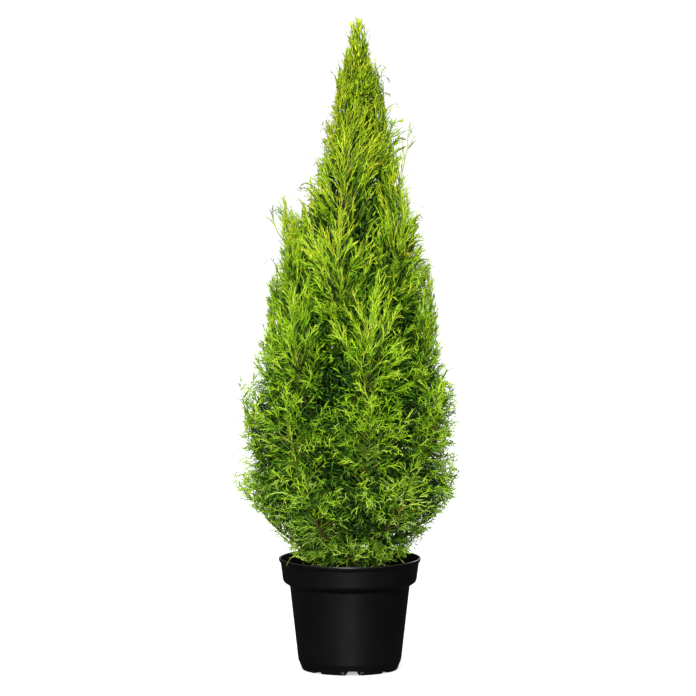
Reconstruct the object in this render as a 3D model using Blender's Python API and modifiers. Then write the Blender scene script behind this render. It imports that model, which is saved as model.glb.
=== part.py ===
"""Potted lemon cypress: a young, dense, upright conifer in a plain black nursery pot.

Metres, +Z up. The origin is the centre of the pot's underside, on the ground, and the plant's front faces -Y.
One trunk runs up through the foliage. Rings of boughs leave it and carry the masses of foliage; the masses
higher up, and the lowest ones, spring from the trunk itself. Each mass is a slim core along its own stem,
with three-sided twigs and toothed sprays that stand out of it and keep to the mass's own space.
"""

import math
import random
from collections import namedtuple

import bmesh
import bpy
import numpy as np
from mathutils import Matrix, Vector

SEED = 19
CLEAR = 0.0003  # gap kept between solids that touch
UP = Vector((0.0, 0.0, 1.0))

# Pot: a thin nursery pot with a collar, a flared lip and an underside cut by radial channels.
POT_HEIGHT = 0.150
LIP_RADIUS = 0.095
COLLAR_TOP_RADIUS = 0.0924
COLLAR_FOOT_RADIUS = 0.0895
COLLAR_FOOT = 0.1210
BODY_TOP_RADIUS = 0.0802
BODY_TOP = 0.1125
BODY_FOOT_RADIUS = 0.0690
BODY_FOOT = 0.0135
BASE_RADIUS = 0.0645
WALL = 0.0016
FLOOR_TOP = 0.0080
POT_SEGMENTS = 36
ROUND_ANGLE = 35.0  # edges sharper than this, in degrees, stay sharp in the shading

# Channels under the pot: height, width at the ground and width at the roof, one set between the other.
MAIN_CHANNEL = (0.0060, 0.0190, 0.0105)
MINOR_CHANNEL = (0.0028, 0.0150, 0.0110)
CHANNELS_EACH = 4
CHANNEL_TURN = 3.0  # degrees from the front to the first channel
CHANNEL_INNER_RADIUS = 0.030
CHANNEL_OVERRUN = 0.010
CHANNEL_DEPTH_BELOW = 0.004

SOIL_TOP = 0.1310
SOIL_INSET = 0.0005

# Trunk: height of its foot and tip, its radii from the root flare up, and its lean to the right.
TRUNK_FOOT = SOIL_TOP + CLEAR
TRUNK_TIP = 0.745
TRUNK_RADII = ((0.0, 0.0105), (0.008, 0.0085), (0.022, 0.0070), (0.30, 0.0050), (0.614, 0.0014))
FLARE_POINTS = 3
TRUNK_POINTS = 11
LEAN = 0.012
LEAN_START = 0.47
LEAN_END = 0.76
SWAY = 0.002

# Outline of the foliage: height above the ground and radius about the trunk.
TREE_TOP = 0.868
OUTLINE = (
    (0.140, 0.054), (0.185, 0.098), (0.230, 0.139), (0.345, 0.145), (0.440, 0.122), (0.540, 0.105),
    (0.610, 0.083), (0.680, 0.054), (0.760, 0.038), (0.820, 0.022), (TREE_TOP, 0.010),
)
OUTLINE_SLACK = 1.02  # the tips of sprays may pass the outline by this factor
RIM_CLEAR = 0.002  # foliage keeps this far above the rim and the soil
INSIDE_RIM_RADIUS = 0.0876

# Twigs that stand out of the outline: azimuth in degrees (0 is +X, 270 the front), height, and how far.
STRAYS = (
    (183, 0.624, 0.034), (8, 0.724, 0.030), (180, 0.366, 0.012), (0, 0.352, 0.008), (186, 0.250, 0.016),
    (6, 0.250, 0.008),
)
STRAY_HEIGHT = 0.026
STRAY_ANGLE = 18.0

# Rings of masses round the trunk: the first one's azimuth in degrees, the height where they leave the trunk
# and how much their feet are spread about it, round and round, the height of their tips, a mass's half-width,
# how far out their lines run at first as a share of the tip's radius, the number of twigs in a mass, and
# whether a bough carries each of them.
Ring = namedtuple("Ring", "name count turn foot spread tip half_width out_share twigs has_bough")
RINGS = (
    Ring("skirt", 5, 198, 0.146, 0.010, 0.186, 0.035, 0.60, 1, False),
    Ring("low", 6, 186, 0.168, 0.030, 0.268, 0.052, 0.64, 3, True),
    Ring("belly", 7, 180, 0.208, 0.030, 0.386, 0.058, 0.62, 3, True),
    Ring("waist", 6, 166, 0.302, 0.030, 0.518, 0.054, 0.56, 3, True),
    Ring("shoulder", 5, 183, 0.420, 0.030, 0.634, 0.048, 0.48, 3, False),
    Ring("neck", 3, 8, 0.548, 0.030, 0.734, 0.040, 0.42, 2, False),
    Ring("crest", 2, 200, 0.640, 0.030, 0.800, 0.030, 0.32, 2, False),
)
TIP_SPREAD = 0.008  # tips of one ring end this far above or below its tip height
LEADER_HALF_WIDTH = 0.030
LEADER_TWIGS = 2

# A mass's line: a cubic curve from the trunk to its tip.
LINE_BULGE = 0.92  # radius of its second handle, as a share of the outline's radius there
LINE_RISES = (0.08, 0.52)  # heights of its two handles, as shares of the rise
LINE_STEPS = 16

# Boughs and stems along that line, in shares of its length, and how thick they are.
BOUGH_END = 0.28
BOUGH_RADII = (0.0032, 0.0020)
BOUGH_POINTS = 4
STRAIGHT_END = 0.004  # a bough's tip and the stem that faces it run straight for this far
STEM_START_ON_TRUNK = 0.08
STEM_END = 0.88
STEM_FOOT_RADIUS = 0.0016
CORE_SWELL = ((0.00, 0.0), (0.10, 0.15), (0.32, 0.38), (0.64, 0.37), (1.00, 0.05))

# Spaces of the masses.
SPACE_START = 0.2
MASS_WIDTHS = ((0.0, 0.30), (0.30, 0.80), (0.55, 1.0), (0.85, 0.90), (1.0, 0.60))
SPACE_MARGIN = 0.030  # share of a mass's half-width that stays empty beside its neighbours
TRUNK_SAMPLES = 120
BOUGH_SAMPLES = 30
LIMB_CLEAR = 0.004  # shoots keep this far from the trunk and from other masses' limbs
OWN_BOUGH_CLEAR = 0.0008

# Shoots: a three-sided twig that ends in a toothed spray.
TWIGS_START = 0.34
LEADER_TWIGS_START = 0.05
TWIGS_END = 0.84
LAST_SHOOT_OVERLAP = 0.16
GOLDEN = 137.508
FAN = 125.0  # twigs keep within this many degrees of straight out from the trunk
TURN_JITTER = 40.0
TURN_TRIES = (0, 35, -35, 70, -70, 110, -110)
TWIG_ANGLES = (38, 60, 84)
SIDE_ANGLE = 46.0
SPRAY_TILT = 30.0
LONGEST_SHOOT = 0.105
SHORTEST_SHOOT = 0.018
RAY_STEPS = 21
APART = 0.045  # tips of a mass's sprays are spread this far apart where there is room
APART_WEIGHT = 0.8
TWIG_RADII = (0.0015, 0.0011)
SIDE_TWIG_RADII = (0.0006, 0.0010)
TWIG_DEPTH = 1.4  # a twig's third corner lies this many radii below its other two
TWIG_SHARE = 0.36  # of a shoot's length that is bare twig
SIDE_TWIG_SHARE = 0.14
SIDE_TWIG_PLACE = 0.60  # where a side twig leaves its twig

# A spray past its twig: its half-width as a share of its length, its teeth and notches as shares of its
# length and half-width, its thickest place, its thickness and droop, and how much it faces up.
SPRAY_WIDTH = 0.32
SPRAY_OUTLINE = ((0.44, 1.00), (0.54, 0.40), (0.80, 0.74), (0.81, 0.28))
SPRAY_RIDGE = 0.50
SPRAY_THICKNESS = 0.045
SPRAY_DROOP = 0.06
SPRAY_FACES_UP = 0.3
# Sizes that are tried for a shoot, as shares of its free length and of its spray's width.
SHRINKS = ((1.0, 1.0), (1.0, 0.7), (0.88, 1.0), (0.88, 0.65), (0.75, 0.9), (0.75, 0.6), (0.6, 0.8), (0.6, 0.5))

WELD = 0.00001
FLAT_ANGLE = 0.5

Mass = namedtuple("Mass", "name line half_width twigs stem_start twigs_start fan has_bough")
Shoot = namedtuple("Shoot", "foot neck left right above below tip")


# ---------------------------------------------------------------- scene and small helpers


def clear_scene():
    for obj in list(bpy.data.objects):
        bpy.data.objects.remove(obj, do_unlink=True)


def new_collection(name, shown=True):
    collection = bpy.data.collections.new(name)
    bpy.context.scene.collection.children.link(collection)
    collection.hide_render = not shown
    return collection


def make_material(name, colour, roughness):
    material = bpy.data.materials.new(name)
    material.use_nodes = True
    shader = material.node_tree.nodes["Principled BSDF"]
    shader.inputs["Base Color"].default_value = (*colour, 1.0)
    shader.inputs["Roughness"].default_value = roughness
    shader.inputs["Metallic"].default_value = 0.0
    return material


def add_object(name, mesh, collection, material=None):
    obj = bpy.data.objects.new(name, mesh)
    collection.objects.link(obj)
    if material:
        mesh.materials.clear()
        mesh.materials.append(material)
    return obj


def hide_cutter(obj):
    obj.hide_render = True
    obj.display_type = "WIRE"


def apply_modifiers(obj):
    graph = bpy.context.evaluated_depsgraph_get()
    mesh = bpy.data.meshes.new_from_object(obj.evaluated_get(graph))
    mesh.name = obj.name
    obj.modifiers.clear()
    obj.data = mesh


def shade_round(obj):
    obj.data.shade_smooth()
    obj.data.set_sharp_from_angle(angle=math.radians(ROUND_ANGLE))


def blend_between(table, place):
    """The value at a place in a table of (place, value), with straight lines between its entries."""
    return float(np.interp(place, [row[0] for row in table], [row[1] for row in table]))


def smooth_step(low, high, value):
    share = min(max((value - low) / (high - low), 0.0), 1.0)
    return share * share * (3 - 2 * share)


def turn_difference(azimuth, other):
    """The signed turn between two azimuths in degrees, from -180 to 180."""
    return (azimuth - other + 180) % 360 - 180


def rotated(vector, axis, degrees):
    return Matrix.Rotation(math.radians(degrees), 3, axis) @ vector


def square_to(vector, heading):
    """The part of a vector that lies square to a heading, as a unit vector."""
    return (vector - heading * vector.dot(heading)).normalized()


# ---------------------------------------------------------------- pot and soil


def turned(name, profile, collection, material):
    """A body of revolution from (radius, height) points that run from axis to axis, down the outside."""
    mesh = bpy.data.meshes.new(name)
    edges = [(i, i + 1) for i in range(len(profile) - 1)]
    mesh.from_pydata([(radius, 0.0, height) for radius, height in profile], edges, [])
    obj = add_object(name, mesh, collection, material)
    screw = obj.modifiers.new("turn", "SCREW")
    screw.steps = screw.render_steps = POT_SEGMENTS
    screw.use_merge_vertices = True
    screw.merge_threshold = WELD
    return obj


def inner_wall():
    """The pot's inside from the floor up, as (radius, height)."""
    return [
        (BASE_RADIUS - WALL, FLOOR_TOP),
        (BODY_TOP_RADIUS - WALL, BODY_TOP + WALL),
        (COLLAR_FOOT_RADIUS - WALL, COLLAR_FOOT + WALL),
        (LIP_RADIUS - 1.6 * WALL, POT_HEIGHT),
    ]


def outer_wall():
    """The pot's outside from the lip down, as (radius, height)."""
    return [
        (LIP_RADIUS - 0.4 * WALL, POT_HEIGHT),
        (LIP_RADIUS, POT_HEIGHT - 0.0012),
        (LIP_RADIUS - 0.0004, POT_HEIGHT - 0.0040),
        (COLLAR_TOP_RADIUS, POT_HEIGHT - 0.0070),
        (COLLAR_FOOT_RADIUS, COLLAR_FOOT),
        (COLLAR_FOOT_RADIUS - 0.0015, COLLAR_FOOT - 0.0032),
        (BODY_TOP_RADIUS, BODY_TOP),
        (BODY_FOOT_RADIUS, BODY_FOOT),
        (BASE_RADIUS + 0.0016, 0.0060),
        (BASE_RADIUS - 0.0006, 0.0),
    ]


def add_channel_cutter(channel, azimuth, cutters):
    """A radial bar with sloping sides that cuts one channel out of the underside."""
    height, foot_width, roof_width = channel
    foot_half_width = foot_width / 2 + (foot_width - roof_width) / 2 / height * CHANNEL_DEPTH_BELOW
    mesh = bpy.data.meshes.new("channel_cutter")
    shape = bmesh.new()
    bmesh.ops.create_cube(shape, size=1.0)
    for corner in shape.verts:
        at_roof = corner.co.z > 0
        corner.co.x = BASE_RADIUS + CHANNEL_OVERRUN if corner.co.x > 0 else CHANNEL_INNER_RADIUS
        corner.co.y = math.copysign(roof_width / 2 if at_roof else foot_half_width, corner.co.y)
        corner.co.z = height if at_roof else -CHANNEL_DEPTH_BELOW
    shape.to_mesh(mesh)
    shape.free()
    cutter = add_object("channel_cutter", mesh, cutters)
    cutter.rotation_euler.z = math.radians(azimuth)
    hide_cutter(cutter)


def make_pot(collection, cutters, material):
    pot = turned("pot", [(0.0, FLOOR_TOP), *inner_wall(), *outer_wall(), (0.0, 0.0)], collection, material)
    step = 360 / CHANNELS_EACH
    for number in range(CHANNELS_EACH):
        azimuth = CHANNEL_TURN - 90 + number * step
        add_channel_cutter(MAIN_CHANNEL, azimuth, cutters)
        add_channel_cutter(MINOR_CHANNEL, azimuth + step / 2, cutters)
    cut = pot.modifiers.new("channels", "BOOLEAN")
    cut.operation = "DIFFERENCE"
    cut.solver = "EXACT"
    cut.operand_type = "COLLECTION"
    cut.collection = cutters
    apply_modifiers(pot)
    shade_round(pot)


def make_soil(collection, material):
    """The root ball and potting soil that fill the pot, flat on top."""
    wall = inner_wall()
    top_radius = blend_between([(height, radius) for radius, height in wall], SOIL_TOP) - SOIL_INSET
    foot_radius = wall[0][0] - SOIL_INSET
    side = [(radius - SOIL_INSET, height) for radius, height in wall[1:] if height < SOIL_TOP]
    foot = FLOOR_TOP + CLEAR
    profile = [(0.0, SOIL_TOP), (top_radius, SOIL_TOP), *reversed(side), (foot_radius, foot), (0.0, foot)]
    soil = turned("soil", profile, collection, material)
    apply_modifiers(soil)
    shade_round(soil)


# ---------------------------------------------------------------- lines of the trunk, boughs and masses


def trunk_centre(height):
    """The trunk's centre line: upright, with a slight sway, leaning right near the top."""
    share = (height - TRUNK_FOOT) / (TRUNK_TIP - TRUNK_FOOT)
    sway = SWAY * math.sin(math.tau * share) * min(share * 4, 1.0)
    return Vector((LEAN * smooth_step(LEAN_START, LEAN_END, height) - sway, sway, height))


def trunk_radius(height):
    return blend_between(TRUNK_RADII, height - TRUNK_FOOT)


def outward_of(point):
    """Straight out from the trunk, level."""
    out = point - trunk_centre(point.z)
    out.z = 0.0
    return out.normalized() if out.length > STEM_FOOT_RADIUS else Vector((0.0, -1.0, 0.0))


def outline_radius(height, azimuth):
    """How far the foliage reaches from the trunk at this height and azimuth in degrees."""
    radius = blend_between(OUTLINE, height)
    for stray_azimuth, stray_height, extra in STRAYS:
        turn = turn_difference(azimuth, stray_azimuth) / STRAY_ANGLE
        rise = (height - stray_height) / STRAY_HEIGHT
        radius += extra * math.exp(-turn * turn - rise * rise)
    return radius


def inside_outline(point):
    """True if the point lies in the crown's outline, clear of the pot and the soil."""
    out = point - trunk_centre(point.z)
    reach = outline_radius(point.z, math.degrees(math.atan2(out.y, out.x))) * OUTLINE_SLACK
    if math.hypot(out.x, out.y) > reach or not SOIL_TOP + RIM_CLEAR < point.z < TREE_TOP:
        return False
    return point.z > POT_HEIGHT + RIM_CLEAR or math.hypot(point.x, point.y) < INSIDE_RIM_RADIUS


def mass_line(foot, azimuth, tip_height, out_share):
    """Points of the curve that a bough and its mass follow, from the trunk's centre to the mass's tip."""
    out = Vector((math.cos(math.radians(azimuth)), math.sin(math.radians(azimuth)), 0.0))
    reach = outline_radius(tip_height, azimuth)
    low, high = [foot + share * (tip_height - foot) for share in LINE_RISES]
    knots = (
        trunk_centre(foot),
        trunk_centre(low) + out * reach * out_share,
        trunk_centre(high) + out * outline_radius(high, azimuth) * LINE_BULGE,
        trunk_centre(tip_height) + out * reach,
    )
    line = []
    for step in range(LINE_STEPS + 1):
        t = step / LINE_STEPS
        weights = ((1 - t) ** 3, 3 * t * (1 - t) ** 2, 3 * t * t * (1 - t), t**3)
        line.append(sum((weight * knot for weight, knot in zip(weights, knots)), Vector()))
    return line


def along(line, share):
    """The point at a share of a line's steps."""
    place = min(max(share, 0.0), 1.0) * LINE_STEPS
    step = min(int(place), LINE_STEPS - 1)
    return line[step].lerp(line[step + 1], place - step)


def direction_along(line, share):
    near = 0.5 / LINE_STEPS
    return (along(line, share + near) - along(line, share - near)).normalized()


def plan_ring(ring):
    """The masses of one ring, their feet staggered so that no two boughs meet at the trunk."""
    rule = random.Random(f"{SEED} {ring.name}")
    masses = []
    for number in range(ring.count):
        lap, place = divmod(number * 2, ring.count)
        foot = ring.foot + ring.spread * ((place + lap * 0.5) / ring.count - 0.5)
        tip = ring.tip + TIP_SPREAD * rule.uniform(-1, 1)
        azimuth = ring.turn + 360 / ring.count * number
        masses.append(Mass(
            name=f"{ring.name}_{number + 1}",
            line=mass_line(foot, azimuth, tip, ring.out_share),
            half_width=ring.half_width,
            twigs=ring.twigs,
            stem_start=BOUGH_END if ring.has_bough else STEM_START_ON_TRUNK,
            twigs_start=TWIGS_START,
            fan=FAN,
            has_bough=ring.has_bough,
        ))
    return masses


def plan_masses():
    """Every mass, from the lowest ring to the leader that goes on from the trunk's tip."""
    masses = [mass for ring in RINGS for mass in plan_ring(ring)]
    foot, top = trunk_centre(TRUNK_TIP), trunk_centre(TREE_TOP)
    masses.append(Mass(
        name="leader",
        line=[foot.lerp(top, step / LINE_STEPS) for step in range(LINE_STEPS + 1)],
        half_width=LEADER_HALF_WIDTH,
        twigs=LEADER_TWIGS,
        stem_start=0.0,
        twigs_start=LEADER_TWIGS_START,
        fan=180.0,
        has_bough=False,
    ))
    return masses


# ---------------------------------------------------------------- spaces


def as_array(points):
    return np.array([tuple(point) for point in points])


class Spaces:
    """Deals the crown out to the masses. A point belongs to the mass whose line it is nearest to, counted in
    that mass's own half-widths, and it has to lie in the outline and clear of the trunk and the boughs."""

    def __init__(self, masses):
        rows = []
        for owner, mass in enumerate(masses):
            for step in range(LINE_STEPS + 1):
                share = step / LINE_STEPS
                if share >= SPACE_START:
                    width = mass.half_width * blend_between(MASS_WIDTHS, share)
                    rows.append((mass.line[step], width, owner))
        self.points = as_array(row[0] for row in rows)
        self.widths = np.array([row[1] for row in rows])
        self.owners = np.array([row[2] for row in rows])

        limbs = []
        for height in np.linspace(TRUNK_FOOT, TRUNK_TIP, TRUNK_SAMPLES):
            limbs.append((trunk_centre(height), trunk_radius(height) + LIMB_CLEAR, -1))
        for owner, mass in enumerate(masses):
            for share in np.linspace(0.0, BOUGH_END, BOUGH_SAMPLES):
                centre = along(mass.line, share)
                limbs.append((centre, BOUGH_RADII[0] + LIMB_CLEAR, owner))
                if mass.has_bough:
                    limbs.append((centre, BOUGH_RADII[0] + OWN_BOUGH_CLEAR, -1))
        self.limb_points = as_array(limb[0] for limb in limbs)
        self.limb_radii = np.array([limb[1] for limb in limbs])
        self.limb_owners = np.array([limb[2] for limb in limbs])

    def fits(self, owner, points):
        """True if all the points lie in that mass's space."""
        if not all(inside_outline(point) for point in points):
            return False
        tested = as_array(points)[:, None]
        distance = np.linalg.norm(tested - self.points, axis=2) / self.widths
        own = distance[:, self.owners == owner].min(axis=1)
        others = distance[:, self.owners != owner].min(axis=1)
        if (own + SPACE_MARGIN >= others).any():
            return False
        limbs = self.limb_owners != owner
        distance = np.linalg.norm(tested - self.limb_points[limbs], axis=2)
        return bool((distance > self.limb_radii[limbs]).all())


# ---------------------------------------------------------------- limbs


def tube(name, points, radii, collection, material=None, resolution=1):
    """A limb as a mesh: a poly curve with a radius at each point and welded, filled ends."""
    curve = bpy.data.curves.new(name, "CURVE")
    curve.dimensions = "3D"
    curve.bevel_depth = 1.0
    curve.bevel_resolution = resolution
    curve.use_fill_caps = True
    spline = curve.splines.new("POLY")
    spline.points.add(len(points) - 1)
    for knot, point, radius in zip(spline.points, points, radii):
        knot.co = (*point, 1.0)
        knot.radius = radius
    source = bpy.data.objects.new(f"{name}_curve", curve)
    collection.objects.link(source)
    graph = bpy.context.evaluated_depsgraph_get()
    mesh = bpy.data.meshes.new_from_object(source.evaluated_get(graph))
    limb = add_object(name, mesh, collection, material)
    limb.matrix_world = source.matrix_world
    bpy.data.objects.remove(source)
    shape = bmesh.new()
    shape.from_mesh(mesh)
    bmesh.ops.remove_doubles(shape, verts=shape.verts, dist=WELD)
    bmesh.ops.triangulate(shape, faces=shape.faces)
    bmesh.ops.recalc_face_normals(shape, faces=shape.faces)
    shape.to_mesh(mesh)
    shape.free()
    return limb


def trunk_tube(name, extra, collection, material=None):
    """The trunk, or the same shape grown by extra, as a cutter for what meets it."""
    flare = [place for place, _ in TRUNK_RADII[:FLARE_POINTS]]
    rest = np.linspace(flare[-1], TRUNK_TIP - TRUNK_FOOT, TRUNK_POINTS)[1:]
    heights = [TRUNK_FOOT + place for place in (*flare, *rest)]
    points = [trunk_centre(height) for height in heights]
    radii = [trunk_radius(height) + extra for height in heights]
    return tube(name, points, radii, collection, material, resolution=2)


def make_trunk(collection, material):
    shade_round(trunk_tube("trunk", 0.0, collection, material))


def cut_with(obj, cutter):
    cut = obj.modifiers.new("seat", "BOOLEAN")
    cut.operation = "DIFFERENCE"
    cut.solver = "EXACT"
    cut.object = cutter
    apply_modifiers(obj)


def make_bough(mass, trunk_cutter, collection, material):
    """One tapering limb, cut to seat on the trunk, from the trunk to the foot of its mass."""
    points = [along(mass.line, share) for share in np.linspace(0.0, BOUGH_END, BOUGH_POINTS)]
    points[-2] = points[-1] - direction_along(mass.line, BOUGH_END) * STRAIGHT_END
    radii = np.linspace(*BOUGH_RADII, BOUGH_POINTS)
    bough = tube(f"bough_{mass.name}", points, radii, collection, material)
    cut_with(bough, trunk_cutter)
    shade_round(bough)


# ---------------------------------------------------------------- foliage


def make_shoot(root, heading, face, length, width, twig_share, radii):
    """The corners of a shoot: a three-sided twig, then a toothed spray, thickest at its middle."""
    side = heading.cross(face).normalized()
    twig = length * twig_share
    spray = length - twig

    def place(share, across, lift=0.0):
        droop = -UP * SPRAY_DROOP * spray * share * share
        return root + heading * (twig + spray * share) + side * across + face * lift + droop

    def ring(at, radius):
        return [at + side * radius, at - side * radius, at - face * radius * TWIG_DEPTH]

    half_width = spray * SPRAY_WIDTH * width
    lift = SPRAY_THICKNESS * spray / 2
    return Shoot(
        foot=ring(root, radii[0]),
        neck=ring(root + heading * twig, radii[1]),
        left=[place(share, across * half_width) for share, across in SPRAY_OUTLINE],
        right=[place(share, -across * half_width) for share, across in SPRAY_OUTLINE],
        above=place(SPRAY_RIDGE, 0.0, lift),
        below=place(SPRAY_RIDGE, 0.0, -lift),
        tip=place(1.0, 0.0),
    )


def shoot_mesh(shoot):
    """The closed mesh of a shoot, which is a loft between a triangle and a toothed outline."""
    shape = bmesh.new()
    foot, neck, left, right = [
        [shape.verts.new(point) for point in row] for row in (shoot.foot, shoot.neck, shoot.left, shoot.right)
    ]
    above, below, tip = [shape.verts.new(point) for point in (shoot.above, shoot.below, shoot.tip)]
    faces = [foot, (above, neck[0], neck[1]), (below, neck[1], neck[2]), (below, neck[2], neck[0])]
    for corner in range(3):
        following = (corner + 1) % 3
        faces.append((foot[corner], foot[following], neck[following]))
        faces.append((foot[corner], neck[following], neck[corner]))
    for ridge in (above, below):
        for rim in ((neck[0], *left, tip), (neck[1], *right, tip)):
            faces += [(ridge, near, far) for near, far in zip(rim, rim[1:])]
    for face in faces:
        shape.faces.new(face)
    bmesh.ops.recalc_face_normals(shape, faces=shape.faces)
    mesh = bpy.data.meshes.new("shoot")
    shape.to_mesh(mesh)
    shape.free()
    return mesh


def tested_points(shoot):
    """A spray's corners and the middles of its edges, which have to stay in the mass's space."""
    rim = [*shoot.left, shoot.tip, *reversed(shoot.right)]
    middles = [(near + far) / 2 for near, far in zip(rim, rim[1:])]
    return [*rim, *middles, shoot.above, shoot.below]


class Grower:
    """Grows the shoots of one mass by a seeded rule. Twigs leave the stem one after another, turned by the
    golden angle and then to where there is room. Each ends in a spray, and carries one more at its side."""

    def __init__(self, mass, owner, spaces):
        self.mass = mass
        self.rule = random.Random(f"{SEED} {mass.name}")
        self.fits = lambda points: spaces.fits(owner, points)
        self.shoots = []

    def free_length(self, root, heading):
        """How far a straight shoot from here stays in its mass's space."""
        for step in range(1, RAY_STEPS + 1):
            if not self.fits([root + heading * LONGEST_SHOOT * step / RAY_STEPS]):
                return LONGEST_SHOOT * (step - 1) / RAY_STEPS
        return LONGEST_SHOOT

    def worth(self, root, heading, length):
        """A shoot is worth more the longer it is and the further its tip is from the others."""
        tip = root + heading * length
        apart = min([APART, *((tip - shoot.tip).length for shoot in self.shoots)])
        return length + APART_WEIGHT * apart

    def add_shoot(self, root, heading, length, twig_share, radii):
        """Adds the largest of a few sizes of a shoot that fits, and says whether one does."""
        face = outward_of(root + heading * length / 2).lerp(UP, SPRAY_FACES_UP)
        tilt = self.rule.uniform(-SPRAY_TILT, SPRAY_TILT)
        face = rotated(square_to(face, heading), heading, tilt)
        for shrink, width in SHRINKS:
            if length * shrink < SHORTEST_SHOOT:
                break
            shoot = make_shoot(root, heading, face, length * shrink, width, twig_share, radii)
            if self.fits(tested_points(shoot)):
                self.shoots.append(shoot)
                return True
        return False

    def best_twig(self, root, stem_heading, base_turn):
        """Of a few ways to turn a twig, the heading and free length that are worth most."""
        out = square_to(outward_of(root + stem_heading * APART), stem_heading)
        choices = [(0.0, 0, stem_heading, 0.0)]
        for offset in TURN_TRIES:
            turn = turn_difference(base_turn + offset, 0)
            if abs(turn) > self.mass.fan:
                continue
            away = rotated(out, stem_heading, turn)
            for angle in TWIG_ANGLES:
                lean = math.radians(angle)
                heading = stem_heading * math.cos(lean) + away * math.sin(lean)
                length = self.free_length(root, heading)
                choices.append((self.worth(root, heading, length), len(choices), heading, length))
        return max(choices)[2:]

    def best_side(self, root, heading):
        """The better of the two sides of a twig for its side shoot, as a heading and free length."""
        face = square_to(outward_of(root), heading)
        choices = []
        for turn in (SIDE_ANGLE, -SIDE_ANGLE):
            side_heading = rotated(heading, face, turn)
            length = self.free_length(root, side_heading)
            choices.append((self.worth(root, side_heading, length), turn, side_heading, length))
        return max(choices)[2:]

    def grow(self):
        mass = self.mass
        root = along(mass.line, STEM_END - LAST_SHOOT_OVERLAP)
        reach = mass.line[-1] - root
        self.add_shoot(root, reach.normalized(), reach.length, SIDE_TWIG_SHARE, TWIG_RADII)
        for number in range(mass.twigs):
            share = mass.twigs_start + (TWIGS_END - mass.twigs_start) * (number + 0.5) / mass.twigs
            root = along(mass.line, share)
            base_turn = number * GOLDEN + self.rule.uniform(-TURN_JITTER, TURN_JITTER)
            heading, length = self.best_twig(root, direction_along(mass.line, share), base_turn)
            if self.add_shoot(root, heading, length, TWIG_SHARE, TWIG_RADII):
                side_root = root + heading * length * TWIG_SHARE * SIDE_TWIG_PLACE
                side_heading, side_length = self.best_side(side_root, heading)
                self.add_shoot(side_root, side_heading, side_length, SIDE_TWIG_SHARE, SIDE_TWIG_RADII)
        return self.shoots


def make_core(mass, collection, material):
    """A mass's stem, swollen into its core, 0.3 mm clear of its bough or of the trunk."""
    points, radii = [], []
    for place, swell in CORE_SWELL:
        points.append(along(mass.line, mass.stem_start + (STEM_END - mass.stem_start) * place))
        radii.append(max(mass.half_width * swell, STEM_FOOT_RADIUS))
    heading = direction_along(mass.line, mass.stem_start)
    points[0] = points[0] + heading * CLEAR
    points.insert(1, points[0] + heading * STRAIGHT_END)
    radii.insert(1, radii[0])
    if mass.stem_start and not mass.has_bough:
        points.insert(0, mass.line[0])
        radii.insert(0, radii[0])
    return tube(f"foliage_{mass.name}", points, radii, collection, material)


def connected_groups(shape):
    """The faces of a mesh in groups that hang together, the one with the most surface first."""
    found, groups = set(), []
    for start in shape.faces:
        if start in found:
            continue
        group, edge = [], [start]
        found.add(start)
        while edge:
            face = edge.pop()
            group.append(face)
            for near in (near for side in face.edges for near in side.link_faces):
                if near not in found:
                    found.add(near)
                    edge.append(near)
        groups.append(group)
    return sorted(groups, key=lambda group: -sum(face.calc_area() for face in group))


def tidy_union(obj):
    """Keeps a union's outer skin, without the hollows it seals and loose scraps, and joins the faces that
    it leaves split within one plane."""
    shape = bmesh.new()
    shape.from_mesh(obj.data)
    for group in connected_groups(shape)[1:]:
        bmesh.ops.delete(shape, geom=group, context="FACES")
    bmesh.ops.dissolve_limit(
        shape, angle_limit=math.radians(FLAT_ANGLE), verts=shape.verts, edges=shape.edges
    )
    shape.to_mesh(obj.data)
    shape.free()


def fuse(core, meshes, pieces):
    """Joins the shoots to their core with one Boolean union, and removes them."""
    for mesh in meshes:
        add_object("piece", mesh, pieces)
    join = core.modifiers.new("fuse", "BOOLEAN")
    join.operation = "UNION"
    join.solver = "EXACT"
    join.operand_type = "COLLECTION"
    join.collection = pieces
    apply_modifiers(core)
    tidy_union(core)
    for piece in list(pieces.objects):
        bpy.data.objects.remove(piece)


def make_mass(mass, owner, spaces, trunk_cutter, pieces, collection, material):
    core = make_core(mass, collection, material)
    shoots = Grower(mass, owner, spaces).grow()
    fuse(core, [shoot_mesh(shoot) for shoot in shoots], pieces)
    if not mass.has_bough:
        cut_with(core, trunk_cutter)
    core.data.materials.clear()
    core.data.materials.append(material)


def main():
    clear_scene()
    plant = new_collection("potted_lemon_cypress")
    channel_cutters = new_collection("channel_cutters", shown=False)
    seat_cutters = new_collection("seat_cutters", shown=False)
    pieces = new_collection("pieces", shown=False)
    black_plastic = make_material("black_plastic", (0.016, 0.016, 0.017), 0.42)
    peat = make_material("peat", (0.030, 0.020, 0.014), 0.95)
    bark = make_material("bark", (0.16, 0.085, 0.045), 0.85)
    foliage = make_material("foliage", (0.19, 0.30, 0.028), 0.60)

    make_pot(plant, channel_cutters, black_plastic)
    make_soil(plant, peat)
    make_trunk(plant, bark)
    trunk_cutter = trunk_tube("trunk_cutter", CLEAR, seat_cutters)
    hide_cutter(trunk_cutter)

    masses = plan_masses()
    spaces = Spaces(masses)
    for owner, mass in enumerate(masses):
        if mass.has_bough:
            make_bough(mass, trunk_cutter, plant, bark)
        make_mass(mass, owner, spaces, trunk_cutter, pieces, plant, foliage)


main()
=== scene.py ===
"""Looks of the potted lemon cypress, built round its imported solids.

Metres, +Z up, front -Y. The plant's masses grow again here by the rule of the part's source, then go on to finer
twigs, sprays and cords within the same reach. The pot, soil, trunk and boughs get detailed meshes of their own.
"""

import math
import random
from collections import namedtuple

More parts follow.
